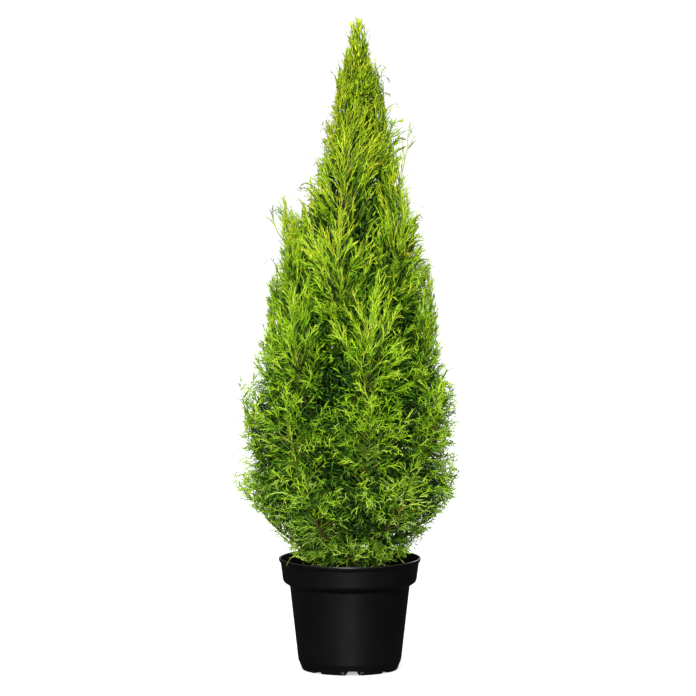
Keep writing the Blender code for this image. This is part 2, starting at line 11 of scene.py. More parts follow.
import bpy
import numpy as np
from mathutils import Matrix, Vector


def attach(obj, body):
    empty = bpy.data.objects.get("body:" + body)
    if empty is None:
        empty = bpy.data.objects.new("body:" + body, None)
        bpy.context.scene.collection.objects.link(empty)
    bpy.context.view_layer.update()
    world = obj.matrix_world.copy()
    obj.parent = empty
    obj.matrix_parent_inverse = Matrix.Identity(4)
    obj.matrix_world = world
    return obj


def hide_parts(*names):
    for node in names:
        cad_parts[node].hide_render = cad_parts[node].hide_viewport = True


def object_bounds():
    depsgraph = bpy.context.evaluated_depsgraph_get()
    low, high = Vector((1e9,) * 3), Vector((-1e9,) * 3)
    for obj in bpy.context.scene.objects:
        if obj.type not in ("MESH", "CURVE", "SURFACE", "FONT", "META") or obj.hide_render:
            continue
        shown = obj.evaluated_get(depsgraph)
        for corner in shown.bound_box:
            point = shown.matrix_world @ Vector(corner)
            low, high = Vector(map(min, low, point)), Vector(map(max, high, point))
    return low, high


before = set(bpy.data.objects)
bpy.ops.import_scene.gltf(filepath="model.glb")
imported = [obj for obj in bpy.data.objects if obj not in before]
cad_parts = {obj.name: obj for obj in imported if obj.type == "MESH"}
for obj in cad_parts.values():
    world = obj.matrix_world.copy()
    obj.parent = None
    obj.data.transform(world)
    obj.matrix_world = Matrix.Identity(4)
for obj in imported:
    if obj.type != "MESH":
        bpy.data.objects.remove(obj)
frame_box = [list(corner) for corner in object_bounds()]

SEED = 19
UP = np.array([0.0, 0.0, 1.0])

# ---------------------------------------------------------------- sizes shared with the part's source

POT_HEIGHT = 0.150
LIP_RADIUS = 0.095
COLLAR_TOP_RADIUS = 0.0924
COLLAR_FOOT_RADIUS = 0.0895
COLLAR_FOOT = 0.1210
BODY_TOP_RADIUS = 0.0802
BODY_TOP = 0.1125
BODY_FOOT_RADIUS = 0.0690
BODY_FOOT = 0.0135
BASE_RADIUS = 0.0645
WALL = 0.0016
FLOOR_TOP = 0.0080
MAIN_CHANNEL = (0.0060, 0.0190, 0.0105)
MINOR_CHANNEL = (0.0028, 0.0150, 0.0110)
CHANNELS_EACH = 4
CHANNEL_TURN = 3.0
SOIL_TOP = 0.1310
SOIL_INSET = 0.0005
CRUMBS = 1500

TRUNK_FOOT = SOIL_TOP + 0.0003
TRUNK_TIP = 0.745
TRUNK_RADII = ((0.0, 0.0105), (0.008, 0.0085), (0.022, 0.0070), (0.30, 0.0050), (0.614, 0.0014))
LEAN = 0.012
LEAN_START = 0.47
LEAN_END = 0.76
SWAY = 0.002

TREE_TOP = 0.868
OUTLINE = (
    (0.140, 0.054), (0.185, 0.098), (0.230, 0.139), (0.345, 0.145), (0.440, 0.122), (0.540, 0.105),
    (0.610, 0.083), (0.680, 0.054), (0.760, 0.038), (0.820, 0.022), (TREE_TOP, 0.010),
)
OUTLINE_SLACK = 1.02
RIM_CLEAR = 0.002
INSIDE_RIM_RADIUS = 0.0876
STRAYS = (
    (183, 0.624, 0.034), (8, 0.724, 0.030), (180, 0.366, 0.012), (0, 0.352, 0.008), (186, 0.250, 0.016),
    (6, 0.250, 0.008),
)
STRAY_HEIGHT = 0.026
STRAY_ANGLE = 18.0

Ring = namedtuple("Ring", "name count turn foot spread tip half_width out_share twigs has_bough")
RINGS = (
    Ring("skirt", 5, 198, 0.146, 0.010, 0.186, 0.035, 0.60, 1, False),
    Ring("low", 6, 186, 0.168, 0.030, 0.268, 0.052, 0.64, 3, True),
    Ring("belly", 7, 180, 0.208, 0.030, 0.386, 0.058, 0.62, 3, True),
    Ring("waist", 6, 166, 0.302, 0.030, 0.518, 0.054, 0.56, 3, True),
    Ring("shoulder", 5, 183, 0.420, 0.030, 0.634, 0.048, 0.48, 3, False),
    Ring("neck", 3, 8, 0.548, 0.030, 0.734, 0.040, 0.42, 2, False),
    Ring("crest", 2, 200, 0.640, 0.030, 0.800, 0.030, 0.32, 2, False),
)
TIP_SPREAD = 0.008
LEADER_HALF_WIDTH = 0.030
LEADER_TWIGS = 2

LINE_BULGE = 0.92
LINE_RISES = (0.08, 0.52)
LINE_STEPS = 16

BOUGH_END = 0.28
BOUGH_RADII = (0.0032, 0.0020)
STEM_END = 0.88
STEM_FOOT_RADIUS = 0.0016
LIMB_SHARES = (0.02, 0.62)  # of a mass's line that is woody limb
THIN_LIMB_RADII = (0.0024, 0.0016)
LIMB_TIP_RADIUS = 0.0011

SPACE_START = 0.2
MASS_WIDTHS = ((0.0, 0.30), (0.30, 0.80), (0.55, 1.0), (0.85, 0.90), (1.0, 0.60))
SPACE_MARGIN = 0.030
TRUNK_SAMPLES = 120
BOUGH_SAMPLES = 30
LIMB_CLEAR = 0.004
OWN_BOUGH_CLEAR = 0.0008

TWIGS_START = 0.34
LEADER_TWIGS_START = 0.05
TWIGS_END = 0.84
LAST_SHOOT_OVERLAP = 0.16
GOLDEN = 137.508
FAN = 125.0
TURN_JITTER = 40.0
TURN_TRIES = (0, 35, -35, 70, -70, 110, -110)
TWIG_ANGLES = (38, 60, 84)
SIDE_ANGLE = 46.0
SPRAY_TILT = 30.0
LONGEST_SHOOT = 0.105
SHORTEST_SHOOT = 0.018
RAY_STEPS = 21
APART = 0.045
APART_WEIGHT = 0.8
TWIG_SHARE = 0.36
SIDE_TWIG_SHARE = 0.14
SIDE_TWIG_PLACE = 0.60
SPRAY_WIDTH = 0.32
SPRAY_OUTLINE = ((0.44, 1.00), (0.54, 0.40), (0.80, 0.74), (0.81, 0.28))
SPRAY_RIDGE = 0.50
SPRAY_THICKNESS = 0.045
SPRAY_DROOP = 0.06
SPRAY_FACES_UP = 0.3
SHRINKS = ((1.0, 1.0), (1.0, 0.7), (0.88, 1.0), (0.88, 0.65), (0.75, 0.9), (0.75, 0.6), (0.6, 0.8), (0.6, 0.5))

# ---------------------------------------------------------------- sizes of the finer growth

# Below the first height the crown is loose and curly, above the second it is fine and upright.
CURLY_BELOW, UPRIGHT_ABOVE = 0.30, 0.50
# Up through these heights sprays turn into long strings, by these factors on sprays and on their cords.
STRINGY = (0.46, 0.66)
STRING_LENGTHS = (0.36, -0.30)
AXIS_POINTS = 13
SPRAY_POINTS = 4
TIP_SPRAY_POINTS = 5
HOOK_POINTS = 7
CORD_POINTS = 3
# Finer twigs end at spots strewn evenly through the crown, and leave their mass's line at about this angle.
SPOT_ZONES = (  # from, to, spacing
    (SOIL_TOP, 0.25, 0.0164), (0.25, 0.50, 0.0196), (0.50, 0.68, 0.0182), (0.68, 0.78, 0.0135),
    (0.78, TREE_TOP, 0.0080),
)
SPOT_JITTER = 0.46
SPOT_MARGIN = 0.045
SPOTS_WITHIN = 0.985  # of the crown's plain radius
# How many hang inside the pot's rim, and stand under the crown's foot: radii, heights.
RIM_SPOTS = ((84, 0.074, 0.0865, 0.150, 0.170), (60, 0.030, 0.072, 0.152, 0.192))
# More end along the plumes that stand off the crown: from, to as (x, y, z) in millimetres.
PLUMES = (
    ((38, -2, 652), (52, 0, 690)), ((38, 10, 624), (54, 4, 672)), ((40, -6, 632), (54, -2, 676)),
    ((-70, 2, 590), (-98, 0, 604)), ((-66, -12, 560), (-90, -6, 590)), ((84, -8, 170), (104, -2, 194)),
    ((86, 10, 178), (102, 14, 204)), ((70, -34, 158), (84, -12, 166)),
)
PLUME_SPOTS = 11
PLUME_SPREAD = 0.0035
FINER_TWIG_ANGLES = (52, 24)  # curly, upright
# How far a finer twig's knee lies out, and up, on the way to its spot.
KNEES = ((0.45, 0.40), (0.72, 0.36))
FINER_ANGLE_SLACK = 14
FINER_LENGTH_SLACK = 0.050
LONGEST_FINER_TWIG = 0.115
SPRAYS_START = 0.34  # share of a twig that is bare
SPRAY_SPACING = 0.0062
SPRAY_LENGTH = (0.015, 0.012)  # at the tip of a twig, and how much more at its foot
SPRAY_ANGLES = (46, 17)
SPRAY_ANGLE_JITTER = 9
CORD_SPACING = 0.0030
CORD_LENGTH = (0.0078, 0.0062)
CORD_ANGLES = (40, 18)
CORD_ANGLE_JITTER = 10
# How strongly sprays and tip sprays bend outwards, any way and down, each for (curly, upright).
SPRAY_BENDS = ((0.25, 0.22), (0.60, 0.16), (0.38, 0.0))
TIP_BENDS = ((0.9, 1.6), (0.50, 0.30), (0.9, 1.5))
TIP_HOOKS = (0.35, 1.15)  # each tip spray bends by between these shares of that
CORD_SWEEP, CORD_WILDNESS = 0.35, (0.60, 0.20)  # how far cords bend along their spray, and any way
LEADER_TIP_BEND = (0.9, -0.1, -0.5)
TIP_LENGTHS = ((0.014, 0.028), (0.016, 0.031))  # curly, upright
SPRAY_RADIUS = 0.00058
TIP_SPRAY_RADIUS = 0.00070
HOOK_RADIUS = 0.00096
HOOK_TONE, PLUME_TONE = 0.27, 0.58
HOOK_TAPER = 0.45
SPRAY_TAPER = 0.7
CORD_TAPER = 0.85
CORD_RADIUS = 0.00051
WIDTH_SPREAD = (0.82, 1.15)
STEM_RADIUS, TWIG_RADIUS = 0.0012, 0.0008
STEM_BARE = 0.1  # lines less bare than this are stems
# How far past the outline sprays reach: at least, on average beyond that, and at most.
REACH = (-0.006, 0.0050, 0.014)
TIP_REACH = (0.002, 0.0090, 0.020)
TOP_REACH, TOP_REACH_LESS = (0.74, 0.82), 0.5  # up through these heights they reach this share less
SETTLE_TRIES = (1.0, 0.7, 0.45)  # shares of its length at which a spray may fit
TOP_TRIM = ((0.70, 0.0), (0.76, 0.0035), (0.82, 0.0060), (TREE_TOP, 0.003))  # finer growth keeps in by this
NOTCHES = ((180, 0.357, 0.016), (0, 0.722, 0.004))  # and by these: azimuths, heights and depths
LUMPS, LUMP_SIZES = (0.0085, 0.0070), (0.034, 0.034, 0.080)  # how deep the outline is fluted
STRAY_REACH = 0.010  # and how far past their own roots
CORD_REACH = 0.0035
NEIGHBOUR_SHARE = 0.12  # how far sprays may reach into a neighbour's space, in half-widths
# Further in than this, or this share of the radius, twigs and sprays are fewer, and their cords coarser.
INNER_DEPTH = 0.034
INNER_SHARE = 0.48
INNER_SPOTS_KEPT = (0.74, 0.95)  # curly, upright
INNER_SPRAYS_KEPT = (0.74, 0.95)
OUTER_SPRAYS_KEPT = (0.90, 1.0)
INNER_NEIGHBOUR_SHARE = 0.8
INNER_CORDS = (2.2, 2.0, 3.5)  # spacing, length and thickness against the outer ones
PATCH_SIZES = (0.045, 0.045, 0.060)
SHADE_STEEPNESS = (1.35, 1.0)  # curly, upright
SHADE_DEPTH = (0.002, 0.036)  # painted shade: foliage this far inside the outline is painted lightest, and darkest
# Tones painted on foliage at the outline, curly and upright, before painted shade darkens it further in.
LIT_TONES = (0.70, 0.62)
PATCH_TONE = 0.08
SPRAY_TONE_SPREAD = (0.155, 0.185)  # curly, upright
CORD_TONES = (0.24, 0.35, 0.10)  # how much lighter to a spray's tip, from this share on, and how uneven
MASS_TONES = 0.06  # masses differ by as much as this, but for these lighter ones
LIGHTER_MASSES = (("shoulder_2", 0.12), ("waist_3", 0.10), ("belly_3", 0.08))
# Painted light and shade by height: foliage is painted darker at the crown's foot and lighter higher up.
HEIGHT_TONES = ((0.15, -0.06), (0.23, 0.02), (0.60, 0.135), (0.68, 0.12), (0.78, 0.09))
BOX_SLACK = 0.008  # how far the finest tips may pass the solids' box
# Strays that hook over at the crown's edges: foot, knee and tip as (x, z), with every y near the trunk's.
HOOKS = (
    ((48, 693), (76, 740), (83, 717)), ((44, 690), (66, 722), (74, 708)), ((30, 796), (40, 816), (47, 805)),
    ((32, 787), (48, 808), (52, 785)), ((35, 762), (48, 781), (53, 768)), ((40, 738), (56, 764), (63, 756)),
    ((-12, 773), (-16, 795), (-25, 799)), ((3, 832), (0, 852), (-10, 850)), ((-4, 811), (-5, 827), (-14, 825)),
    ((12, 842), (14, 866), (20, 856)), ((16, 826), (22, 846), (28, 834)), ((-22, 709), (-32, 749), (-36, 730)),
    ((-22, 695), (-32, 733), (-38, 722)), ((-34, 634), (-54, 668), (-69, 644)), ((-40, 623), (-56, 655), (-66, 642)),
    ((-77, 595), (-93, 634), (-106, 615)), ((-82, 590), (-90, 622), (-99, 616)), ((-77, 550), (-85, 585), (-94, 573)),
    ((-93, 528), (-103, 567), (-113, 545)), ((-95, 494), (-106, 525), (-114, 516)),
    ((-103, 419), (-117, 446), (-125, 438)), ((80, 591), (91, 623), (96, 603)), ((109, 454), (114, 494), (121, 483)),
    ((-136, 344), (-148, 378), (-156, 360)), ((-118, 400), (-131, 424), (-139, 410)),
    ((122, 385), (131, 412), (138, 400)), ((92, 520), (99, 549), (105, 538)),
)
PLUME_HOOKS = (  # lighter ones, which make up the long plume on the right
    ((26, 664), (58, 736), (78, 727)), ((30, 656), (60, 722), (73, 708)), ((32, 650), (58, 706), (70, 694)),
    ((32, 676), (54, 738), (66, 733)), ((34, 640), (58, 694), (68, 680)),
)
HOOK_DEPTH = 0.012
HOOK_ROOT = 1.45  # how far back from the knee a stray goes on into the crown, against its foot above
RIM_FROND = ((-62, -42, 152), (-78, -50, 169), (-86, -48.5, 140))  # one hangs over the pot's rim
RIM_FROND_TONE = 0.9
# Hollows in the front of the crown, where one looks in on shade: left, right, foot and top.
HOLLOWS = ((-0.038, -0.002, 0.374, 0.455), (0.006, 0.018, 0.580, 0.676))
HOLLOW_DEPTH = 0.58

# Greens as (red, green, blue) out of 255, from the darkest, painted shade on the older foliage deep inside the crown,
# to the lightest, painted light on its tips.
GREENS = (
    (31, 62, 2), (50, 90, 4), (76, 120, 6), (103, 148, 8), (127, 172, 10), (150, 192, 16), (169, 204, 29),
    (190, 217, 58),
)
# The crown's top is more golden than its middle, and its foot a softer green.
TINTS = (  # with how much blue the lighter ones have beside that
    ("green", (0.975, 1.0, 1.0), 0.0), ("golden", (1.035, 0.950, 0.80), 0.0), ("soft", (0.975, 0.995, 1.0), 0.17),
)
GOLDEN_FROM = (0.36, 0.80)
SOFT_BELOW = (0.17, 0.36)
PIECE_LIMIT = 190000  # triangles in one piece
SKY = (0.03, 2.1)  # brightness at the horizon and overhead

Mass = namedtuple("Mass", "name line half_width twigs twigs_start fan has_bough")
Shoot = namedtuple("Shoot", "root heading length tip twig_share")


# ---------------------------------------------------------------- arrays of points and headings


def unit(vectors):
    return vectors / np.maximum(np.linalg.norm(vectors, axis=-1, keepdims=True), 1e-12)


def curve(start, knee, end, t):
    """A quadratic curve's points, from start at 0 to end at 1."""
    return (1 - t) ** 2 * start + 2 * t * (1 - t) * knee + t * t * end


def table_at(table, places):
    return np.interp(places, [row[0] for row in table], [row[1] for row in table])


def smooth_step(low, high, values):
    share = np.clip((values - low) / (high - low), 0.0, 1.0)
    return share * share * (3 - 2 * share)


def turn_difference(azimuth, other):
    return (azimuth - other + 180) % 360 - 180


def square_to(vectors, headings):
    """The parts of vectors that lie square to headings, as unit vectors."""
    return unit(vectors - headings * (vectors * headings).sum(axis=-1, keepdims=True))


def rotated(vectors, axes, degrees):
    angle = np.radians(degrees)[..., None]
    along_axis = axes * (vectors * axes).sum(axis=-1, keepdims=True)
    return (
        vectors * np.cos(angle) + np.cross(axes, vectors) * np.sin(angle) + along_axis * (1 - np.cos(angle))
    )


def mix(pair, share):
    """Between the curly value of a pair and its upright one."""
    return pair[0] + (pair[1] - pair[0]) * share


# ---------------------------------------------------------------- lines of the trunk, boughs and masses


def trunk_centre(heights):
    heights = np.asarray(heights, float)
    share = (heights - TRUNK_FOOT) / (TRUNK_TIP - TRUNK_FOOT)
    sway = SWAY * np.sin(math.tau * share) * np.minimum(share * 4, 1.0)
    lean = LEAN * smooth_step(LEAN_START, LEAN_END, heights)
    return np.stack([lean - sway, sway, heights], axis=-1)


def trunk_radius(heights):
    return table_at(TRUNK_RADII, np.asarray(heights) - TRUNK_FOOT)


def from_trunk(points):
    out = points - trunk_centre(points[..., 2])
    out[..., 2] = 0.0
    return out


def outward_of(points):
    """Straight out from the trunk, level."""
    out = from_trunk(points)
    far = np.linalg.norm(out, axis=-1, keepdims=True) > STEM_FOOT_RADIUS
    return np.where(far, unit(out), np.array([0.0, -1.0, 0.0]))


def near_places(places, heights, azimuths):
    """The sum of the places' last values, each fading with distance from its azimuth and height."""
    total = 0.0
    for azimuth, height, extra in places:
        turn, rise = turn_difference(azimuths, azimuth) / STRAY_ANGLE, (heights - height) / STRAY_HEIGHT
        total = total + extra * np.exp(-turn * turn - rise * rise)
    return total


def outline_radius(heights, azimuths):
    return table_at(OUTLINE, heights) + near_places(STRAYS, heights, azimuths)


def out_and_round(points):
    """How far out from the trunk points lie, and their azimuths in degrees."""
    out = from_trunk(points)
    return np.linalg.norm(out, axis=-1), np.degrees(np.arctan2(out[..., 1], out[..., 0]))


def share_out(points):
    """How far out points lie, from 0 at the trunk to 1 at the outline."""
    distance, azimuths = out_and_round(points)
    return distance / outline_radius(points[..., 2], azimuths)


def past_outline(points):
    """How far past the finer growth's outline points lie, in metres."""
    distance, azimuths = out_and_round(points)
    trim = table_at(TOP_TRIM, points[..., 2]) + near_places(NOTCHES, points[..., 2], azimuths)
    return distance - outline_radius(points[..., 2], azimuths) + trim


def clear_of_pot(points, top=TREE_TOP):
    heights = points[..., 2]
    inside_rim = np.hypot(points[..., 0], points[..., 1]) < INSIDE_RIM_RADIUS
    return (heights > SOIL_TOP + RIM_CLEAR) & (heights < top) & (inside_rim | (heights > POT_HEIGHT + RIM_CLEAR))


def inside_outline(points, slack=OUTLINE_SLACK):
    return (share_out(points) <= slack) & clear_of_pot(points)


def mass_line(foot, azimuth, tip_height, out_share):
    out = np.array([math.cos(math.radians(azimuth)), math.sin(math.radians(azimuth)), 0.0])
    reach = outline_radius(tip_height, azimuth)
    low, high = [foot + share * (tip_height - foot) for share in LINE_RISES]
    knots = (
        trunk_centre(foot),
        trunk_centre(low) + out * reach * out_share,
        trunk_centre(high) + out * outline_radius(high, azimuth) * LINE_BULGE,
        trunk_centre(tip_height) + out * reach,
    )
    t = np.linspace(0.0, 1.0, LINE_STEPS + 1)[:, None]
    weights = ((1 - t) ** 3, 3 * t * (1 - t) ** 2, 3 * t * t * (1 - t), t**3)
    return sum(weight * knot for weight, knot in zip(weights, knots))


def point_at(lines, rows, shares):
    """Points on those rows of lines, at shares of their steps."""
    places = np.clip(np.asarray(shares, float), 0.0, 1.0) * (lines.shape[1] - 1)
    steps = np.minimum(places.astype(int), lines.shape[1] - 2)
    rest = (places - steps)[..., None]
    return lines[rows, steps] * (1 - rest) + lines[rows, steps + 1] * rest


def heading_at(lines, rows, shares):
    near = 0.5 / (lines.shape[1] - 1)
    return unit(point_at(lines, rows, shares + near) - point_at(lines, rows, shares - near))


def along(line, shares):
    return point_at(line[None], 0, shares)


def plan_ring(ring):
    rule = random.Random(f"{SEED} {ring.name}")
    masses = []
    for number in range(ring.count):
        lap, place = divmod(number * 2, ring.count)
        foot = ring.foot + ring.spread * ((place + lap * 0.5) / ring.count - 0.5)
        tip = ring.tip + TIP_SPREAD * rule.uniform(-1, 1)
        azimuth = ring.turn + 360 / ring.count * number
        masses.append(Mass(
            name=f"{ring.name}_{number + 1}",
            line=mass_line(foot, azimuth, tip, ring.out_share),
            half_width=ring.half_width,
            twigs=ring.twigs,
            twigs_start=TWIGS_START,
            fan=FAN,
            has_bough=ring.has_bough,
        ))
    return masses


def plan_masses():
    masses = [mass for ring in RINGS for mass in plan_ring(ring)]
    foot, top = trunk_centre(TRUNK_TIP), trunk_centre(TREE_TOP)
    shares = np.linspace(0.0, 1.0, LINE_STEPS + 1)[:, None]
    masses.append(Mass(
        name="leader",
        line=foot * (1 - shares) + top * shares,
        half_width=LEADER_HALF_WIDTH,
        twigs=LEADER_TWIGS,
        twigs_start=LEADER_TWIGS_START,
        fan=180.0,
        has_bough=False,
    ))
    return masses


# ---------------------------------------------------------------- spaces


class Spaces:
    """Deals the crown out to the masses, as the part's source does."""

    def __init__(self, masses):
        shares = np.arange(LINE_STEPS + 1) / LINE_STEPS
        kept = shares >= SPACE_START
        self.points = np.concatenate([mass.line[kept] for mass in masses])
        self.widths = np.concatenate([
            mass.half_width * table_at(MASS_WIDTHS, shares[kept]) for mass in masses
        ])
        self.owners = np.repeat(np.arange(len(masses)), kept.sum())

        heights = np.linspace(TRUNK_FOOT, TRUNK_TIP, TRUNK_SAMPLES)
        points, radii = [trunk_centre(heights)], [trunk_radius(heights) + LIMB_CLEAR]
        owners = [np.full(TRUNK_SAMPLES, -1)]
        for owner, mass in enumerate(masses):
            centres = along(mass.line, np.linspace(0.0, BOUGH_END, BOUGH_SAMPLES))
            for whose, clear in ((owner, LIMB_CLEAR), (-1, OWN_BOUGH_CLEAR)):
                if whose >= 0 or mass.has_bough:
                    points.append(centres)
                    radii.append(np.full(BOUGH_SAMPLES, BOUGH_RADII[0] + clear))
                    owners.append(np.full(BOUGH_SAMPLES, whose))
        self.limb_points = np.concatenate(points)
        self.limb_radii = np.concatenate(radii)
        self.limb_owners = np.concatenate(owners)

    def overlap(self, owner, points):
        """How much further each point is from its own mass's line than from the nearest other line, both in
        their own half-widths."""
        distance = np.linalg.norm(points[:, None] - self.points, axis=2) / self.widths
        mine = self.owners == owner
        return distance[:, mine].min(axis=1) - distance[:, ~mine].min(axis=1)

    def fits(self, owner, points):
        """True for each point that lies in that mass's space."""
        fit = inside_outline(points)
        fit[fit] = self.overlap(owner, points[fit]) + SPACE_MARGIN < 0
        limbs = self.limb_owners != owner
        if fit.any():
            distance = np.linalg.norm(points[fit][:, None] - self.limb_points[limbs], axis=2)
            fit[fit] = (distance > self.limb_radii[limbs]).all(axis=1)
        return fit


# ---------------------------------------------------------------- twigs


class Grower:
    """Grows the main twigs of one mass by the source's seeded rule."""

    def __init__(self, mass, owner, spaces):
        self.mass = mass
        self.rule = random.Random(f"{SEED} {mass.name}")
        self.fits = lambda points: spaces.fits(owner, points)
        self.shoots = []

    def free_lengths(self, root, headings, longest):
        """How far a straight shoot from here stays in its mass's space, for each heading."""
        steps = np.arange(1, RAY_STEPS + 1) / RAY_STEPS * longest
        points = root + headings[:, None] * steps[None, :, None]
        fit = self.fits(points.reshape(-1, 3)).reshape(len(headings), RAY_STEPS)
        blocked = np.where(fit.all(axis=1), RAY_STEPS, np.argmin(fit, axis=1))
        return longest * blocked / RAY_STEPS

    def worths(self, root, headings, lengths):
        tips = root + headings * lengths[:, None]
        apart = np.full(len(tips), APART)
        for shoot in self.shoots:
            apart = np.minimum(apart, np.linalg.norm(tips - shoot.tip, axis=1))
        return lengths + APART_WEIGHT * apart

    def add_shoot(self, root, heading, length, twig_share):
        face = outward_of(root + heading * length / 2) * (1 - SPRAY_FACES_UP) + UP * SPRAY_FACES_UP
        tilt = self.rule.uniform(-SPRAY_TILT, SPRAY_TILT)
        face = rotated(square_to(face, heading), heading, tilt)
        side = unit(np.cross(heading, face))
        for shrink, width in SHRINKS:
            if length * shrink < SHORTEST_SHOOT:
                break
            twig = length * shrink * twig_share
            spray = length * shrink - twig
            half_width = spray * SPRAY_WIDTH * width
            lift = SPRAY_THICKNESS * spray / 2

            def place(share, across, up=0.0):
                droop = -UP * SPRAY_DROOP * spray * share * share
                return root + heading * (twig + spray * share) + side * across + face * up + droop

            left = [place(share, across * half_width) for share, across in SPRAY_OUTLINE]
            right = [place(share, -across * half_width) for share, across in SPRAY_OUTLINE]
            tip = place(1.0, 0.0)
            rim = [*left, tip, *reversed(right)]
            middles = [(near + far) / 2 for near, far in zip(rim, rim[1:])]
            ridges = [place(SPRAY_RIDGE, 0.0, lift), place(SPRAY_RIDGE, 0.0, -lift)]
            if self.fits(np.array([*rim, *middles, *ridges])).all():
                self.shoots.append(Shoot(root, heading, length * shrink, tip, twig_share))
                return True
        return False

    def best_twig(self, root, stem_heading, base_turn, tries, angles, longest):
        out = square_to(outward_of(root + stem_heading * APART), stem_heading)
        headings = []
        for offset in tries:
            turn = turn_difference(base_turn + offset, 0)
            if abs(turn) > self.mass.fan:
                continue
            away = rotated(out, stem_heading, turn)
            for angle in angles:
                lean = math.radians(angle)
                headings.append(stem_heading * math.cos(lean) + away * math.sin(lean))
        if not headings:
            return stem_heading, 0.0
        headings = np.array(headings)
        lengths = self.free_lengths(root, headings, longest)
        worths = self.worths(root, headings, lengths)
        best = len(worths) - 1 - np.argmax(worths[::-1])
        return headings[best], lengths[best]

    def best_side(self, root, heading, longest):
        face = square_to(outward_of(root), heading)
        headings = np.array([rotated(face * 0 + heading, face, turn) for turn in (-SIDE_ANGLE, SIDE_ANGLE)])
        lengths = self.free_lengths(root, headings, longest)
        worths = self.worths(root, headings, lengths)
        best = 1 if worths[1] >= worths[0] else 0
        return headings[best], lengths[best]

    def grow(self):
        mass = self.mass
        root = along(mass.line, STEM_END - LAST_SHOOT_OVERLAP)
        reach = mass.line[-1] - root
        length = float(np.linalg.norm(reach))
        self.add_shoot(root, reach / length, length, SIDE_TWIG_SHARE)
        for number in range(mass.twigs):
            share = mass.twigs_start + (TWIGS_END - mass.twigs_start) * (number + 0.5) / mass.twigs
            root = along(mass.line, share)
            base_turn = number * GOLDEN + self.rule.uniform(-TURN_JITTER, TURN_JITTER)
            stem_heading = heading_at(mass.line[None], 0, share)
            heading, length = self.best_twig(
                root, stem_heading, base_turn, TURN_TRIES, TWIG_ANGLES, LONGEST_SHOOT
            )
            if self.add_shoot(root, heading, length, TWIG_SHARE):
                side_root = root + heading * length * TWIG_SHARE * SIDE_TWIG_PLACE
                side_heading, side_length = self.best_side(side_root, heading, LONGEST_SHOOT)
                self.add_shoot(side_root, side_heading, side_length, SIDE_TWIG_SHARE)
        return self.shoots


# ---------------------------------------------------------------- lines that grow from lines


def grow_lines(roots, headings, lengths, bends, points):
    """Lines that start out along their headings and bend steadily towards them plus their bends."""
    shares = np.linspace(0.0, 1.0, points - 1)[None, :, None]
    steps = unit(headings[:, None] + bends[:, None] * shares) * (lengths / (points - 1))[:, None, None]
    return np.concatenate([roots[:, None], roots[:, None] + np.cumsum(steps, axis=1)], axis=1)


def lengths_of(lines):
    return np.linalg.norm(np.diff(lines, axis=1), axis=2).sum(axis=1)


def sprouts_on(lines, spacing, start, end, dice):
    """For each line, evenly strewn places from start to end: (rows, shares, numbers along the line)."""
    start = np.broadcast_to(start, len(lines))
    counts = np.maximum((lengths_of(lines) * (end - start) / spacing + dice.random(len(lines))).astype(int), 1)
    rows = np.repeat(np.arange(len(lines)), counts)
    numbers = np.arange(len(rows)) - np.repeat(np.cumsum(counts) - counts, counts)
    shares = start[rows] + (end - start[rows]) * (numbers + dice.uniform(0.15, 0.85, len(rows))) / counts[rows]
    return rows, shares, numbers


def heading_off(stem_headings, outs, turns, angles):
    """Headings that leave stems at angles in degrees, turned about them from the outward side."""
    away = rotated(square_to(outs, stem_headings), stem_headings, turns)
    angles = np.radians(angles)[:, None]
    return stem_headings * np.cos(angles) + away * np.sin(angles)


# ---------------------------------------------------------------- meshes from arrays


def add_mesh(name, points, faces, material, replaced=(), smooth=True):
    """A mesh piece from arrays of points and of faces with the same number of corners."""
    mesh = bpy.data.meshes.new(name)
    corners = faces.shape[1]
    mesh.vertices.add(len(points))
    mesh.vertices.foreach_set("co", np.asarray(points, np.float32).ravel())
    mesh.loops.add(faces.size)
    mesh.loops.foreach_set("vertex_index", faces.astype(np.int32).ravel())
    mesh.polygons.add(len(faces))
    mesh.polygons.foreach_set("loop_start", np.arange(0, faces.size, corners, dtype=np.int32))
    mesh.polygons.foreach_set("loop_total", np.full(len(faces), corners, np.int32))
    mesh.polygons.foreach_set("use_smooth", np.full(len(faces), smooth))
    mesh.update(calc_edges=True)
    mesh.materials.append(material)
    piece = bpy.data.objects.new(name, mesh)
    bpy.context.scene.collection.objects.link(piece)
    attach(piece, "root")
    if replaced:
        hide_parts(*replaced)
    return piece


def corners_round(headings, across, sides):
    """Unit vectors to the corners of a ring of sides round each heading, from across on."""
    other = np.cross(headings, across)
    angles = np.arange(sides) * math.tau / sides
    return across[:, None] * np.cos(angles)[None, :, None] + other[:, None] * np.sin(angles)[None, :, None]


def spike_arrays(lines, foot_radii, tip_share, dice):
    """Three-sided tapering spikes along lines: (points, triangles), for each line in a row."""
    count, rings = len(lines), lines.shape[1] - 1
    headings = unit(lines[:, 1] - lines[:, 0])
    circle = corners_round(headings, square_to(dice.normal(size=(count, 3)), headings), 3)
    radii = foot_radii[:, None] * np.linspace(1.0, tip_share, rings)[None, :]
    around = lines[:, :-1, None] + circle[:, None] * radii[:, :, None, None]
    points = np.concatenate([around.reshape(count, rings * 3, 3), lines[:, -1:]], axis=1)
    faces = []
    for ring in range(rings - 1):
        for side in range(3):
            a, b = ring * 3 + side, ring * 3 + (side + 1) % 3
            faces += [(a, b, b + 3), (a, b + 3, a + 3)]
    last = (rings - 1) * 3
    faces += [(last + side, last + (side + 1) % 3, last + 3) for side in range(3)]
    return points, np.array(faces)


def spindle_arrays(lines, radii, dice):
    """Closed three-sided spindles along lines of three points, widest at the middle one."""
    headings = unit(lines[:, 2] - lines[:, 0])
    circle = corners_round(headings, square_to(dice.normal(size=headings.shape), headings), 3)
    ring = lines[:, 1:2] + circle * radii[:, None, None]
    points = np.concatenate([ring, lines[:, :1], lines[:, 2:]], axis=1)
    faces = [(side, (side + 1) % 3, 4) for side in range(3)] + [((side + 1) % 3, side, 3) for side in range(3)]
    return points, np.array(faces)


